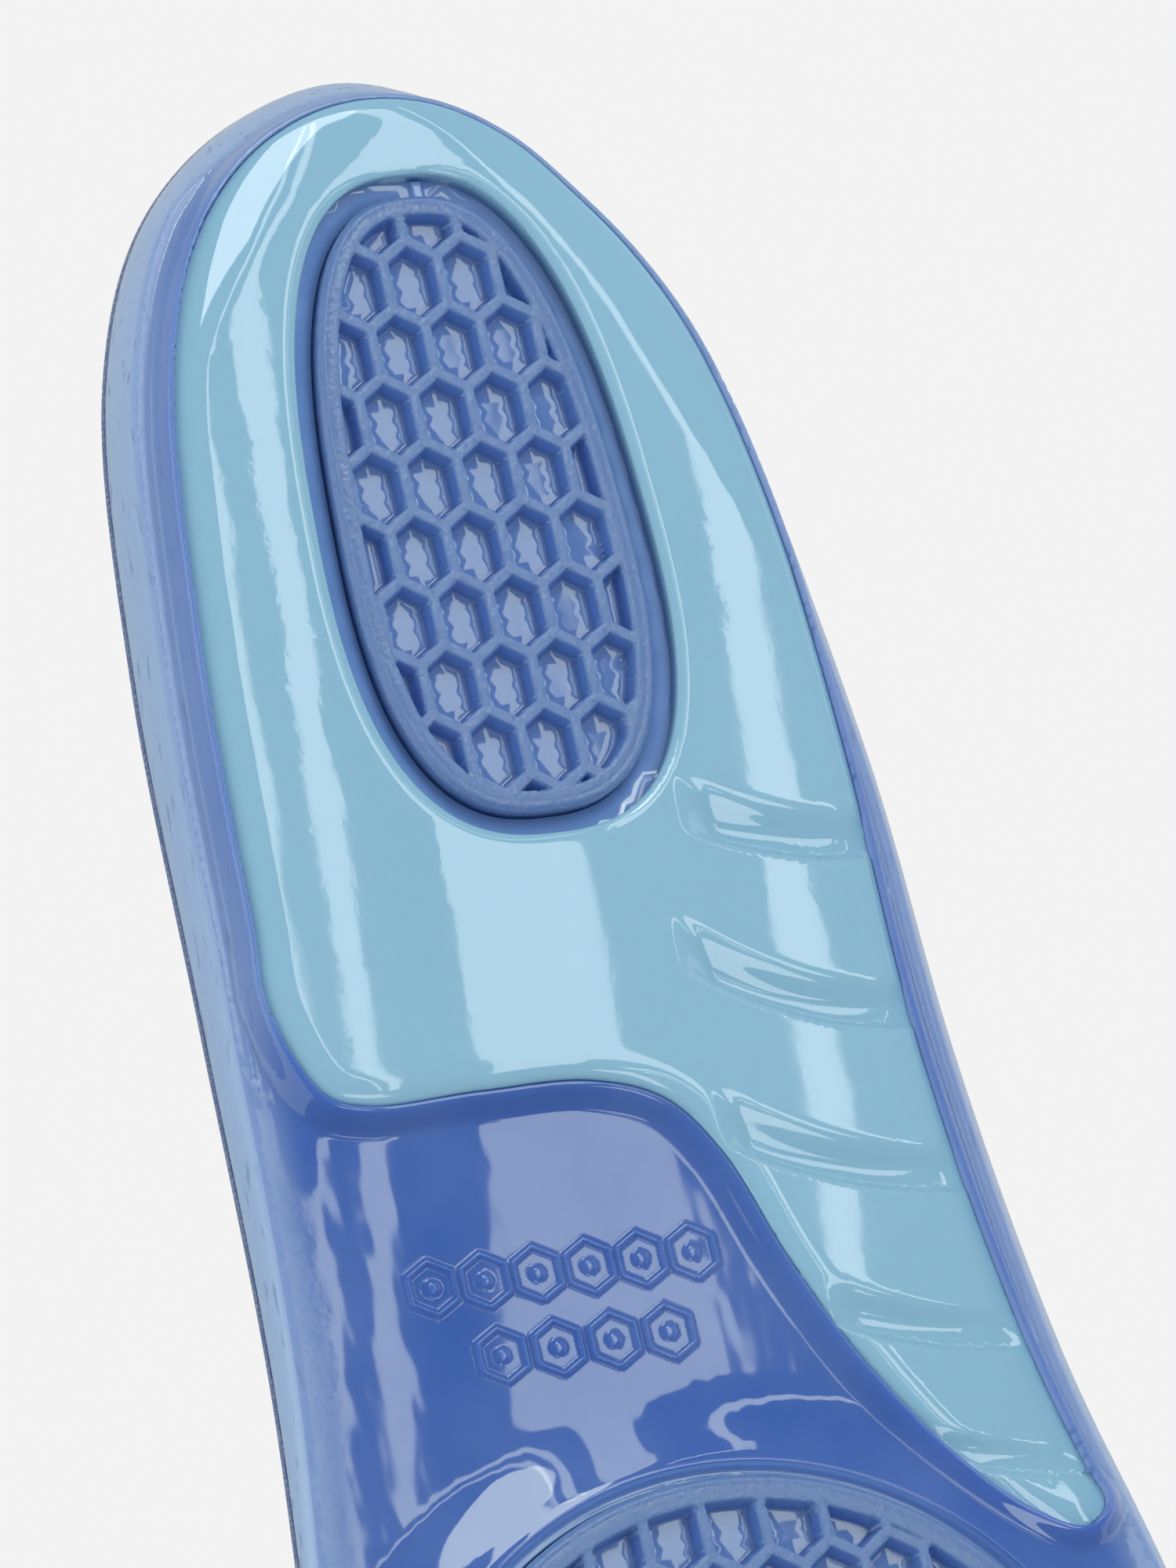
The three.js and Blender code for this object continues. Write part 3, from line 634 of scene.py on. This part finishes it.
# Distances of the rings of points that draw the relief's edges finely.
NEAR_FRAME = [0.05, 0.13, 0.3, *np.arange(0.5, 3.2, 0.22), 3.5, 4.2]
NEAR_CREASE = (-0.4, -0.2, -0.1, 0, 0.1, 0.2, 0.4)
NEAR_BALL = (0.04, 0.12, 0.25, 0.45, 0.7, 0.95, 1.15, 1.3, 1.42, 1.6, 1.8, 2.0, 2.3, 2.8, 3.6)
NEAR_PAD = (0.03, 0.12)


def under_points():
    features = ring_features(lambda d: offset(FRAME_EDGE, d), NEAR_FRAME, 0.06, 0.13)
    for place in CREASES:
        features += [(offset(SOLE_EDGE, -place - d), 0.09) for d in NEAR_CREASE]
    features += ring_features(ball_loop, NEAR_BALL, 0.06, 0.13)
    features += ring_features(lambda d: heel_loop(grown(HEEL_PAD, d)), NEAR_PAD, 0.06, 0.06)
    gate_low = (GATE_X - 1.2, WINDOW[1] - WINDOW[3] - 1)
    fills = [
        fill((-26, 126.5), (10, 142), 0.27),  # the marks
        fill(gate_low, (GATE_X + 1.2, WINDOW[1] - 30), 0.16),
        fill((-50, 105), (50, 172), 0.9),  # the waist
        fill((-50, -2), (50, LENGTH + 2), 3.0),
    ]
    return spread_points(SOLE_EDGE, [], features, fills)


GEL_SHARES = (0.1, 0.3, 0.5, 0.7, 0.85, 0.95)  # rings of its foot side
WALL_TURNS = (0, 0.04, 0.1, 0.25, 0.45, 0.65, 0.85, 0.95, 0.985)  # rings down the wall
WALL_BOW = 2.2  # power of the side wall's curve as it turns under


def side_wall(sole_height):
    """Rings from the rim down the side wall, to just above the edge of the sole."""
    rim_height = foot_ring(1.0, GEL_DEPTH)[:, 2]
    rings = []
    for turn in WALL_TURNS:
        inset = WALL_INSET * (0.25 * turn + 0.75 * turn**WALL_BOW)
        rings.append(np.column_stack([offset(RIM, -inset), mix(rim_height, sole_height, turn)]))
    return rings


def gel_body_mesh():
    """The gel as one closed body, with each point's share of the milky colour, partly a painted glow, and
    whether it lies in a trench, where painted light goes.
    """
    plan = under_points()
    heights, trench = under_height(plan)
    rings = [foot_ring(share, GEL_DEPTH) for share in GEL_SHARES]
    rings += side_wall(heights[:RIM_STEPS])
    start = len(rings) * RIM_STEPS
    last = start - RIM_STEPS
    faces = zip_cap(rings[0], 0, False) + [face[::-1] for face in loft(rings)]
    for i in range(RIM_STEPS):
        following = (i + 1) % RIM_STEPS
        faces.append((last + i, start + i, start + following, last + following))
    faces += (triangulated(plan, [SOLE_EDGE])[:, ::-1] + start).tolist()
    points = np.vstack([np.concatenate(rings), np.column_stack([plan, heights])])
    # milky share: the side wall and the underside near the sole's edge, whose pale colour is partly a
    # painted glow of light through the thin gel
    wall_milky_glow = [0] * len(GEL_SHARES) + [1 if turn < 0.9 else 0.75 for turn in WALL_TURNS]
    under_milky_glow = 0.6 * (1 - smooth(-loop_distance(plan, SOLE_EDGE)[0], 0.0, 5.0))
    milky = np.concatenate([np.repeat(wall_milky_glow, RIM_STEPS), under_milky_glow])
    return points, faces, milky, np.concatenate([np.zeros(start), trench])


# ---------- frame ----------

EDGE_REACH, EDGE_RISE = 3.0, 1.0
CORNER_REACH = 8.0  # the edge is rounder at both back corners
WINDOW_REACH, WINDOW_RISE = 1.3, 0.5
SHOULDER, SHOULDER_RISE = 0.8, 0.65  # height levels off this far short of the thickness
GROOVE_DEPTH = 1.45
GROOVE_FALL, GROOVE_STEP = (-0.2, 0.78), (0.92, 1.03)  # shares of the way across a groove
GROOVE_TIP = (-0.3, 3.8)  # a groove deepens between these distances from its near end
# Distances of the rings of points inside the frame's edges.
FRAME_RINGS = [0.06, 0.16, 0.32, 0.55, 0.85, 1.2, 1.65, 2.2, 2.6, 3.0, 3.5, 4.2, 5.1, 6.1, 7.1, 8.1]
WINDOW_RINGS = FRAME_RINGS[:9]


def groove_depth(points):
    """Depth of the wing's grooves: a slow fall from the heel side, then a sharp step."""
    x, y = points[:, 0], points[:, 1] - FRAME_FRONT
    total = np.zeros(len(points))
    for start, end, upper_start, upper_end, lower_start, lower_end in GROOVES:
        share = np.clip((x - start) / (end - start), 0, 1)
        bow = np.sin(share * math.pi / 2) ** 0.8
        upper = mix(upper_start, upper_end, bow)
        lower = mix(lower_start, lower_end, bow)
        across = (y - upper) / (lower - upper)
        fall = smooth(across, *GROOVE_FALL)
        step = 1 - smooth(across, *GROOVE_STEP)
        tip = smooth(x, *(start + reach for reach in GROOVE_TIP))
        total = np.maximum(total, fall * step * tip * mix(1, 0.75, smooth(share, 0.5, 1)))
    return GROOVE_DEPTH * total


def rounded(distance, reach, rise):
    """Rise of a rounded edge, a quarter of an ellipse, at a distance in from it."""
    t = np.minimum(1 - np.clip(distance / reach, 0, 1), 0.999)
    return rise * (1 - np.sqrt(1 - t * t))


def back_corners(points):
    """1 near the heel's two back corners, the inner one further forward."""
    x, y = points[:, 0], points[:, 1]
    outer = (1 - smooth(y, 14, 34)) * (1 - smooth(x, -6, 4))
    inner = (1 - smooth(y, 32, 60)) * smooth(x, 4, 14)
    return np.maximum(outer, inner)


def frame_height(points):
    edge = -loop_distance(points, FRAME_EDGE)[0]
    window = loop_distance(points, WINDOW_EDGE)[0]
    reach = mix(EDGE_REACH, CORNER_REACH, back_corners(points))
    height = crown(points) + rounded(edge, reach, EDGE_RISE)
    height += rounded(window, WINDOW_REACH, WINDOW_RISE) + groove_depth(points)
    soft = FRAME_THICK - SHOULDER
    over = np.maximum(height - soft, 0)
    return np.minimum(height, soft) + SHOULDER_RISE * (1 - np.exp(-over / SHOULDER_RISE))


def frame_points():
    features = ring_features(lambda d: offset(FRAME_EDGE, -d), FRAME_RINGS, 0.05, 0.12)
    features += ring_features(lambda d: offset(WINDOW_EDGE, d), WINDOW_RINGS, 0.05, 0.12)
    wing = fill((8, FRAME_FRONT - 34), (50, FRAME_FRONT + 54), 0.42)
    fills = [wing, fill((-40, 0), (50, 170), 1.1)]
    return spread_points(FRAME_EDGE[:, :2], [WINDOW_EDGE], features, fills)


# ---------- honeycomb pads ----------

# A pad: its piece and node, outline and edge, width of its plain rim, and its cells'
# pitch with the middle of one of them.
Pad = namedtuple("Pad", "name node outline edge rim pitch cell")
PADS = [
    Pad("heel_honeycomb", "heel_pad", HEEL_PAD, HEEL_PAD_EDGE, 2.1, 6.0, (0.0, 55.0)),
    Pad("ball_honeycomb", "forefoot_pad", BALL_PAD, BALL_PAD_EDGE, 2.6, 6.4, (2.6, 190.2)),
]
CELL_DRAFT = 0.2  # how much a cell's wall leans in, steeper than the CAD's plain cells
# The wall of a cell: distance in from the mouth's edge, and depth there.
CELL_WALL = [
    (-0.2, 0.0),
    (-0.06, 0.02),
    (0.02, 0.12),
    (0.08, 0.36),
    (0.08 + CELL_DRAFT, CELL_DEPTH - 0.22),
    (0.2 + CELL_DRAFT, CELL_DEPTH - 0.04),
    (0.42 + CELL_DRAFT, CELL_DEPTH),
]
SIDE_STEPS = 7  # points along each side of a cell
EDGE_ROUND, EDGE_ROUND_RISE = 0.7, 0.55  # how a pad's outer edge rounds over
LINE_PLACE, LINE_WIDTH, LINE_DEPTH = 0.95, 0.13, 0.09  # fine groove along the rim
BEAD_PLACE, BEAD_WIDTH, BEAD_HEIGHT = 0.35, 0.2, 0.07  # bead beside the cells
PAD_RINGS = (0.06, 0.16, 0.3, 0.5, 0.7, 0.85, 0.95, 1.05, 1.2, 1.6)


def cell_inset(points, pad):
    """How far inside its cell each point lies, from the middle of the ribs."""
    pitch, cell = pad.pitch, pad.cell
    row_pitch = pitch * ROW_RATIO
    tip = pitch * POINT_RATIO
    shoulder = (row_pitch - tip) / 2
    slant = math.hypot(pitch / 2, tip)
    best = np.full(len(points), -np.inf)
    row = np.round((points[:, 1] - cell[1]) / row_pitch)
    for step in (-1, 0, 1):
        r = row + step
        shift = np.mod(r, 2) / 2
        column = np.round((points[:, 0] - cell[0]) / pitch - shift)
        dx = np.abs(points[:, 0] - cell[0] - (column + shift) * pitch)
        dy = np.abs(points[:, 1] - cell[1] - r * row_pitch)
        side = pitch / 2 - dx
        roof = (pitch / 2 * (shoulder + tip - dy) - tip * dx) / slant
        best = np.maximum(best, np.minimum(side, roof))
    return best


def cell_centres(pad):
    row_pitch = pad.pitch * ROW_RATIO
    rows = int(pad.outline[3] / row_pitch) + 3
    columns = int(pad.outline[2] / pad.pitch) + 3
    centres = []
    for r in range(-rows, rows + 1):
        for c in range(-columns, columns + 1):
            x = pad.cell[0] + (c + (r % 2) / 2) * pad.pitch
            centres.append((x, pad.cell[1] + r * row_pitch))
    return centres


def cell_loop(centre, pitch, pull):
    """Points round a cell, as many on each side, pulled in from the middle of its ribs."""
    half, tip = pitch / 2, pitch * POINT_RATIO
    shoulder = (pitch * ROW_RATIO - tip) / 2
    reach = shoulder + tip - pull * math.hypot(half, tip) / half
    side = half - pull
    corner = reach - side * tip / half
    ring = [(0, -reach), (side, -corner), (side, corner), (0, reach), (-side, corner), (-side, -corner)]
    points = []
    for a, b in zip(ring, ring[1:] + ring[:1]):
        for i in range(SIDE_STEPS):
            points.append((mix(a[0], b[0], i / SIDE_STEPS), mix(a[1], b[1], i / SIDE_STEPS)))
    return np.array(points) + np.array(centre)


def wall_drop(inset):
    """Depth below the rib tops at a distance in from the middle of a rib."""
    return np.interp(inset - RIB_WIDTH / 2, *zip(*CELL_WALL))


def pad_height(points, pad):
    """Underside of a pad, and how frosty each point is."""
    inward = -loop_distance(points, pad.edge)[0]
    field = inward - pad.rim + RIB_WIDTH / 2
    drop = wall_drop(np.minimum(cell_inset(points, pad), field))
    round_over = EDGE_ROUND_RISE * (1 - smooth(inward, 0.0, EDGE_ROUND)) ** 2
    line = LINE_DEPTH * bell(inward - LINE_PLACE, LINE_WIDTH)
    bead = BEAD_HEIGHT * bell(inward - pad.rim + BEAD_PLACE, BEAD_WIDTH)
    frost = 1 - smooth(drop, 0.05, 0.5)
    return drop + round_over + line - bead, frost


def pad_points(pad):
    pulls = [RIB_WIDTH / 2 + place for place, depth in CELL_WALL]
    features = [(offset(pad.edge, -d), 0.05) for d in PAD_RINGS]
    features += [(offset(pad.edge, -(pad.rim + pull - RIB_WIDTH / 2)), 0.06) for pull in pulls]
    loops = [cell_loop(centre, pad.pitch, pull) for centre in cell_centres(pad) for pull in pulls]
    features.append((np.concatenate(loops), 0.05))
    x, y, half_width, half_length = pad.outline
    low = (x - half_width * 1.2, y - half_length * 1.1)
    high = (x + half_width * 1.2, y + half_length * 1.1)
    return spread_points(pad.edge, [], features, [fill(low, high, 1.0)])


def pad_mesh(pad):
    plan = pad_points(pad)
    heights, frost = pad_height(plan, pad)
    points, faces = closed_relief(plan, heights, [pad.edge], PAD_THICK)
    return points, faces, np.concatenate([frost, np.ones(len(pad.edge))])


# ---------- materials ----------


class Nodes:
    """A short way to add and join the nodes of one material.

    Noise scales count per metre, and bump distances are in metres.
    """

    def __init__(self, name):
        self.material = bpy.data.materials.new(name)
        self.material.use_nodes = True
        self.tree = self.material.node_tree
        self.shader = self.tree.nodes["Principled BSDF"]

    def add(self, kind, inputs=None, **settings):
        node = self.tree.nodes.new(kind)
        for key, value in settings.items():
            setattr(node, key, value)
        for key, value in (inputs or {}).items():
            self.put(node, key, value)
        return node

    def put(self, node, key, value):
        if isinstance(value, bpy.types.NodeSocket):
            self.tree.links.new(value, node.inputs[key])
        else:
            node.inputs[key].default_value = value

    def attribute(self, name):
        return self.add("ShaderNodeAttribute", attribute_name=name).outputs["Fac"]

    def place(self, scale=(1, 1, 1)):
        where = self.add("ShaderNodeTexCoord").outputs["Object"]
        return self.add("ShaderNodeMapping", {"Vector": where, "Scale": scale}).outputs["Vector"]

    def noise(self, scale, detail=2.0, stretch=(1, 1, 1)):
        inputs = {"Vector": self.place(stretch), "Scale": scale, "Detail": detail}
        return self.add("ShaderNodeTexNoise", inputs).outputs["Fac"]

    def ramp(self, value, low, high):
        node = self.add("ShaderNodeMapRange", {"Value": value, "From Min": low, "From Max": high})
        return node.outputs["Result"]

    def blend(self, factor, first, second):
        node = self.add("ShaderNodeMix", data_type="RGBA")
        for index, value in ((0, factor), (6, first), (7, second)):
            self.put(node, index, value)
        return node.outputs[2]

    def maths(self, operation, first, second):
        node = self.add("ShaderNodeMath", operation=operation)
        self.put(node, 0, first)
        self.put(node, 1, second)
        return node.outputs[0]

    def times(self, first, second):
        return self.maths("MULTIPLY", first, second)

    def wave(self, where, scale, direction):
        inputs = {"Vector": where, "Scale": scale, "Distortion": 2.5, "Detail": 1.0, "Detail Scale": 3.0}
        settings = {"wave_type": "BANDS", "bands_direction": direction}
        return self.add("ShaderNodeTexWave", inputs, **settings).outputs["Fac"]

    def bump(self, height, distance, strength=1.0, below=None):
        inputs = {"Height": height, "Distance": distance, "Strength": strength}
        if below is not None:
            inputs["Normal"] = below
        return self.add("ShaderNodeBump", inputs).outputs["Normal"]

    def finish(self, base, smoothest, rougher, normal=None):
        """Joins the colour, the roughness (a least value and what is added) and the normal."""
        self.put(self.shader, "Base Color", base)
        self.put(self.shader, "Roughness", self.maths("ADD", smoothest, rougher))
        if normal is not None:
            self.put(self.shader, "Normal", normal)


def colour(red, green, blue):
    """A linear colour from its 0 to 255 display values."""
    parts = [v / 255 for v in (red, green, blue)]
    return (*[((v + 0.055) / 1.055) ** 2.4 if v > 0.04045 else v / 12.92 for v in parts], 1.0)


def shader_values(shader, **values):
    names = {key.replace(" ", "_").lower(): key for key in shader.inputs.keys()}
    for key, value in values.items():
        shader.inputs[names[key]].default_value = value


# GEL_MILKY_GLOW: the side wall's milky colour, which is also a painted glow of light through the thin gel
GEL_DEEP, GEL_MILKY_GLOW = colour(50, 93, 175), colour(162, 188, 220)
# GEL_TRENCH_LIGHT: painted light, a paler blue that lifts the shade in the trenches
GEL_TRENCH_LIGHT, GEL_DASHES = colour(118, 158, 220), colour(60, 80, 130)
PAD_DEEP, PAD_MILKY = colour(92, 130, 198), colour(95, 126, 174)
FRAME_DEEP, FRAME_PALE, FRAME_SPECK = colour(136, 185, 210), colour(147, 195, 219), colour(100, 146, 176)
KNIT_DARK, KNIT_LIGHT, KNIT_FUZZ = colour(84, 104, 146), colour(116, 138, 178), colour(170, 184, 208)
FILM_DARK, FILM_LIGHT = colour(205, 212, 226), colour(224, 229, 238)
FLOOR_DARK, FLOOR_LIGHT = colour(240, 240, 240), colour(244, 244, 244)


def clouded(n, milky, deep, pale):
    """The deep colour, paler where the gel is milky and in faint clouds."""
    cloud = n.ramp(n.noise(55, 3), 0.3, 0.7)
    base = n.blend(n.times(milky, 0.85), deep, pale)
    return n.blend(n.times(cloud, 0.12), base, pale)


def finish_gel(n, base, smoothest, rougher, grain_height, grain_strength):
    """A glossy, rippled, translucent surface with a fine grain where it is rougher."""
    ripple = n.bump(n.noise(140, 2, (1.0, 0.45, 1.0)), 0.00010, 0.35)
    normal = n.bump(n.noise(1500, 3), grain_height, grain_strength, ripple)
    n.finish(base, smoothest, rougher, normal)
    shader_values(n.shader, ior=1.5, subsurface_weight=0.35, subsurface_scale=0.004)
    shader_values(n.shader, specular_tint=(0.93, 1.0, 0.8, 1.0), subsurface_radius=(0.35, 0.55, 1.0))


def gel_material():
    """Deep blue gel, milky up its side wall, where its pale colour is also a painted glow of light
    through the thin gel, with faint dashes of the cover's weave there, and painted light in its trenches.
    """
    n = Nodes("gel_blue")
    milky = n.attribute("milky")
    # paler up the side wall: milky gel, with a painted glow of light through it
    base = clouded(n, milky, GEL_DEEP, GEL_MILKY_GLOW)
    # painted light: the trenches are painted paler, lifting the shade in them
    base = n.blend(n.times(n.attribute("trench"), 0.95), base, GEL_TRENCH_LIGHT)
    dashes = n.ramp(n.noise(900, 1, (1.6, 0.22, 1.6)), 0.62, 0.74)
    base = n.blend(n.times(dashes, n.times(milky, 0.35)), base, GEL_DASHES)
    finish_gel(n, base, 0.03, n.times(milky, 0.2), 0.00006, n.times(milky, 0.5))
    return n.material


def pad_material():
    """The pads' softer gel, frosted on its ribs and clear in its cells."""
    n = Nodes("pad_gel_blue")
    frost = n.attribute("frost")
    base = clouded(n, frost, PAD_DEEP, PAD_MILKY)
    finish_gel(n, base, 0.05, n.times(frost, 0.22), 0.00016, n.times(frost, 0.8))
    return n.material


def frame_material():
    n = Nodes("moulded_sky_blue")
    speck = n.ramp(n.noise(420, 2), 0.74, 0.8)
    tone = n.ramp(n.noise(18, 2), 0.35, 0.65)
    base = n.blend(n.times(tone, 0.18), FRAME_DEEP, FRAME_PALE)
    base = n.blend(n.times(speck, 0.1), base, FRAME_SPECK)
    ripple = n.bump(n.noise(75, 2, (1.0, 0.6, 1.0)), 0.00012, 0.22)
    n.finish(base, 0.02, n.times(tone, 0.02), n.bump(n.noise(900, 2), 0.00001, 0.15, ripple))
    shader_values(n.shader, ior=1.49, subsurface_weight=0.12, subsurface_scale=0.002)
    return n.material


def fabric_material():
    """A fine knit with raised threads and a pale fuzz."""
    n = Nodes("knitted_cover")
    where = n.place()
    weave = n.times(n.wave(where, 620.0, "X"), n.wave(where, 430.0, "Y"))
    fuzz = n.noise(2600, 3)
    base = n.blend(weave, KNIT_DARK, KNIT_LIGHT)
    base = n.blend(n.times(n.ramp(fuzz, 0.45, 0.8), 0.4), base, KNIT_FUZZ)
    threads = n.bump(weave, 0.00018, 0.8)
    n.finish(base, 0.78, n.times(fuzz, 0.2), n.bump(fuzz, 0.00008, 0.6, threads))
    shader_values(n.shader, sheen_weight=0.35, sheen_roughness=0.5)
    return n.material


def film_material():
    n = Nodes("bonding_film")
    haze = n.ramp(n.noise(120, 3), 0.3, 0.7)
    n.finish(n.blend(haze, FILM_DARK, FILM_LIGHT), 0.3, n.times(haze, 0.15))
    return n.material


# ---------- pieces ----------


def build_cover():
    points, faces = foot_sheet(0, COVER_THICK, FOOT_SHARES + [1.0], bulge=COVER_BULGE)
    piece = make_piece("fabric_cover", points, faces, fabric_material())
    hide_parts("top_cover")


def build_film():
    points, faces = foot_sheet(FILM_DEPTH, FILM_DEPTH + FILM_THICK, FOOT_SHARES[:-1])
    piece = make_piece("bonding_film", points, faces, film_material())
    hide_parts("bond_film")


def build_gel():
    points, faces, milky, trench_lights = gel_body_mesh()
    piece = make_piece("gel_cushion", points, faces, gel_material())
    # milky carries the side wall's painted glow, trench the painted light in the trenches
    add_value(piece, "milky", milky)
    add_value(piece, "trench", trench_lights)
    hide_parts("gel_body")


def build_frame():
    plan = frame_points()
    loops = [FRAME_EDGE[:, :2], WINDOW_EDGE]
    points, faces = closed_relief(plan, frame_height(plan), loops, FRAME_THICK)
    piece = make_piece("arch_heel_shell", points, faces, frame_material())
    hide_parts("arch_heel_frame")


def build_pad(pad, material):
    points, faces, frost = pad_mesh(pad)
    piece = make_piece(pad.name, points, faces, material)
    add_value(piece, "frost", frost)
    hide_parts(pad.node)


def build_insole():
    build_gel()
    build_cover()
    build_film()
    build_frame()
    pad_gel = pad_material()
    for pad in PADS:
        build_pad(pad, pad_gel)


# ---------- stage, light and camera ----------

BACKGROUND = 0.896  # what the camera sees round the object
AMBIENT, TOE_AMBIENT = 0.78, 0.42  # light from all round, and from beyond the toes
AMBIENT_FALL = (-0.1, 0.8)  # toward the toes, as the y of a direction
FLOOR_SIZE = 40
FLOOR_DROP = 3.2  # the floor lies this far below, so that no view from under is blocked
FLOOR_LIFT = 0.36  # glow that only the camera sees, so the floor looks pale
LIGHT_DISTANCE = 1.1
# Strip lights along the insole: name, angle from straight below toward the arch,
# angular width, shift toward the toes, length, radiance.
STRIPS = [
    ("key", 21.2, 4.7, -0.50, 1.3, 4.8),
    ("outer_strip", 15.4, 0.95, -0.50, 1.3, 5.4),
    ("outer_line", 13.5, 0.6, -0.50, 1.3, 5.4),
    ("arch_strip", 30.0, 1.5, -0.62, 1.2, 5.6),
    ("outer_side", -78.0, 45.0, -0.10, 1.7, 1.3),
    ("arch_side", 80.0, 30.0, -0.10, 1.7, 0.8),
]
# Small soft lights aimed at the middle of the sole: name, place, width, height, radiance.
# The first makes the bright spot on the frame's outer back corner, the second the pale
# near ends of the grooves.
GLOWS = [
    ("heel_glow", (0.17, -0.86, -1.02), 0.24, 0.5, 8.0),
    ("groove_glow", (0.11, 0.41, -1.02), 0.34, 0.2, 4.6),
]
OVERHEAD_PLACE, OVERHEAD_SIZE, OVERHEAD_POWER = (0.3, 0.2, 1.4), (1.4, 1.8), 12
# The camera looks at the underside from the outer side of the toes.
CAMERA_FROM = Vector((-0.40135, 0.2234, -0.9414))
CAMERA_RIGHT = Vector((0.9187, 0.2236, -0.3254))
CAMERA_DOWN = Vector((-0.1101, 0.9366, 0.3327))
CAMERA_LENS, CAMERA_SENSOR = 241.97, 36


def build_stage():
    bpy.ops.mesh.primitive_grid_add(size=FLOOR_SIZE, location=(0, 0, -FLOOR_DROP))
    floor = bpy.context.object
    floor.name = "studio_floor"
    n = Nodes("studio_floor")
    shade = n.blend(n.noise(0.4, 1), FLOOR_DARK, FLOOR_LIGHT)
    n.put(n.shader, "Base Color", shade)
    n.put(n.shader, "Emission Color", shade)
    seen = n.add("ShaderNodeLightPath").outputs["Is Camera Ray"]
    n.put(n.shader, "Emission Strength", n.times(seen, FLOOR_LIFT))
    shader_values(n.shader, roughness=0.9)
    floor.data.materials.append(n.material)


def ambient_light(tree):
    """A white surround that is dimmer beyond the toes."""
    lit = tree.nodes.new("ShaderNodeBackground")
    where = tree.nodes.new("ShaderNodeTexCoord")
    split = tree.nodes.new("ShaderNodeSeparateXYZ")
    fall = tree.nodes.new("ShaderNodeMapRange")
    limits = ("From Min", "From Max", "To Min", "To Max")
    for key, value in zip(limits, (*AMBIENT_FALL, AMBIENT, TOE_AMBIENT)):
        fall.inputs[key].default_value = value
    tree.links.new(where.outputs["Generated"], split.inputs[0])
    tree.links.new(split.outputs["Y"], fall.inputs["Value"])
    tree.links.new(fall.outputs["Result"], lit.inputs["Strength"])
    return lit


def build_world():
    """The camera sees a plain pale surround, and the object is lit by the ambient one."""
    world = bpy.data.worlds.new("studio")
    bpy.context.scene.world = world
    world.use_nodes = True
    tree = world.node_tree
    seen = tree.nodes["Background"]
    seen.inputs["Color"].default_value = (1, 1, 1, 1)
    seen.inputs["Strength"].default_value = BACKGROUND
    path = tree.nodes.new("ShaderNodeLightPath")
    both = tree.nodes.new("ShaderNodeMixShader")
    tree.links.new(path.outputs["Is Camera Ray"], both.inputs[0])
    tree.links.new(ambient_light(tree).outputs[0], both.inputs[1])
    tree.links.new(seen.outputs[0], both.inputs[2])
    tree.links.new(both.outputs[0], tree.nodes["World Output"].inputs[0])


def area_lamp(name, width, height, power):
    light = bpy.data.lights.new(name, "AREA")
    light.shape = "RECTANGLE"
    light.size, light.size_y = width, height
    light.energy = power
    lamp = bpy.data.objects.new(name, light)
    bpy.context.scene.collection.objects.link(lamp)
    lamp.visible_camera = False
    return lamp


def lamp_power(width, height, radiance):
    return radiance * math.pi * width * height


def aim_lamp(lamp, place):
    """Puts a lamp at a place, turned toward the middle of the sole."""
    lamp.location = place
    lamp.rotation_euler = (-lamp.location).to_track_quat("-Z", "Y").to_euler()


def build_strip(name, angle, angular_width, shift, length, radiance):
    width = 2 * LIGHT_DISTANCE * math.tan(math.radians(angular_width / 2))
    lamp = area_lamp(name, width, length, lamp_power(width, length, radiance))
    turn = math.radians(angle)
    away = Vector((math.sin(turn), 0, -math.cos(turn)))
    across = Vector((math.cos(turn), 0, math.sin(turn)))
    axes = Matrix((across, away.cross(across), away)).transposed().to_4x4()
    lamp.matrix_world = Matrix.Translation(away * LIGHT_DISTANCE + Vector((0, shift, 0))) @ axes


def build_lights():
    for strip in STRIPS:
        build_strip(*strip)
    for name, place, width, height, radiance in GLOWS:
        aim_lamp(area_lamp(name, width, height, lamp_power(width, height, radiance)), place)
    aim_lamp(area_lamp("overhead", *OVERHEAD_SIZE, OVERHEAD_POWER), OVERHEAD_PLACE)


def build_camera():
    data = bpy.data.cameras.new("camera")
    data.lens = CAMERA_LENS
    data.sensor_width = CAMERA_SENSOR
    data.clip_start, data.clip_end = 0.05, 100
    camera = bpy.data.objects.new("camera", data)
    bpy.context.scene.collection.objects.link(camera)
    right = CAMERA_RIGHT.normalized()
    up = -(CAMERA_DOWN - right * CAMERA_DOWN.dot(right)).normalized()
    turn = Matrix((right, up, right.cross(up))).transposed().to_4x4()
    camera.matrix_world = Matrix.Translation(CAMERA_FROM) @ turn
    bpy.context.scene.camera = camera


build_insole()
build_stage()
build_world()
build_lights()
build_camera()
bpy.context.scene.view_settings.view_transform = "Standard"
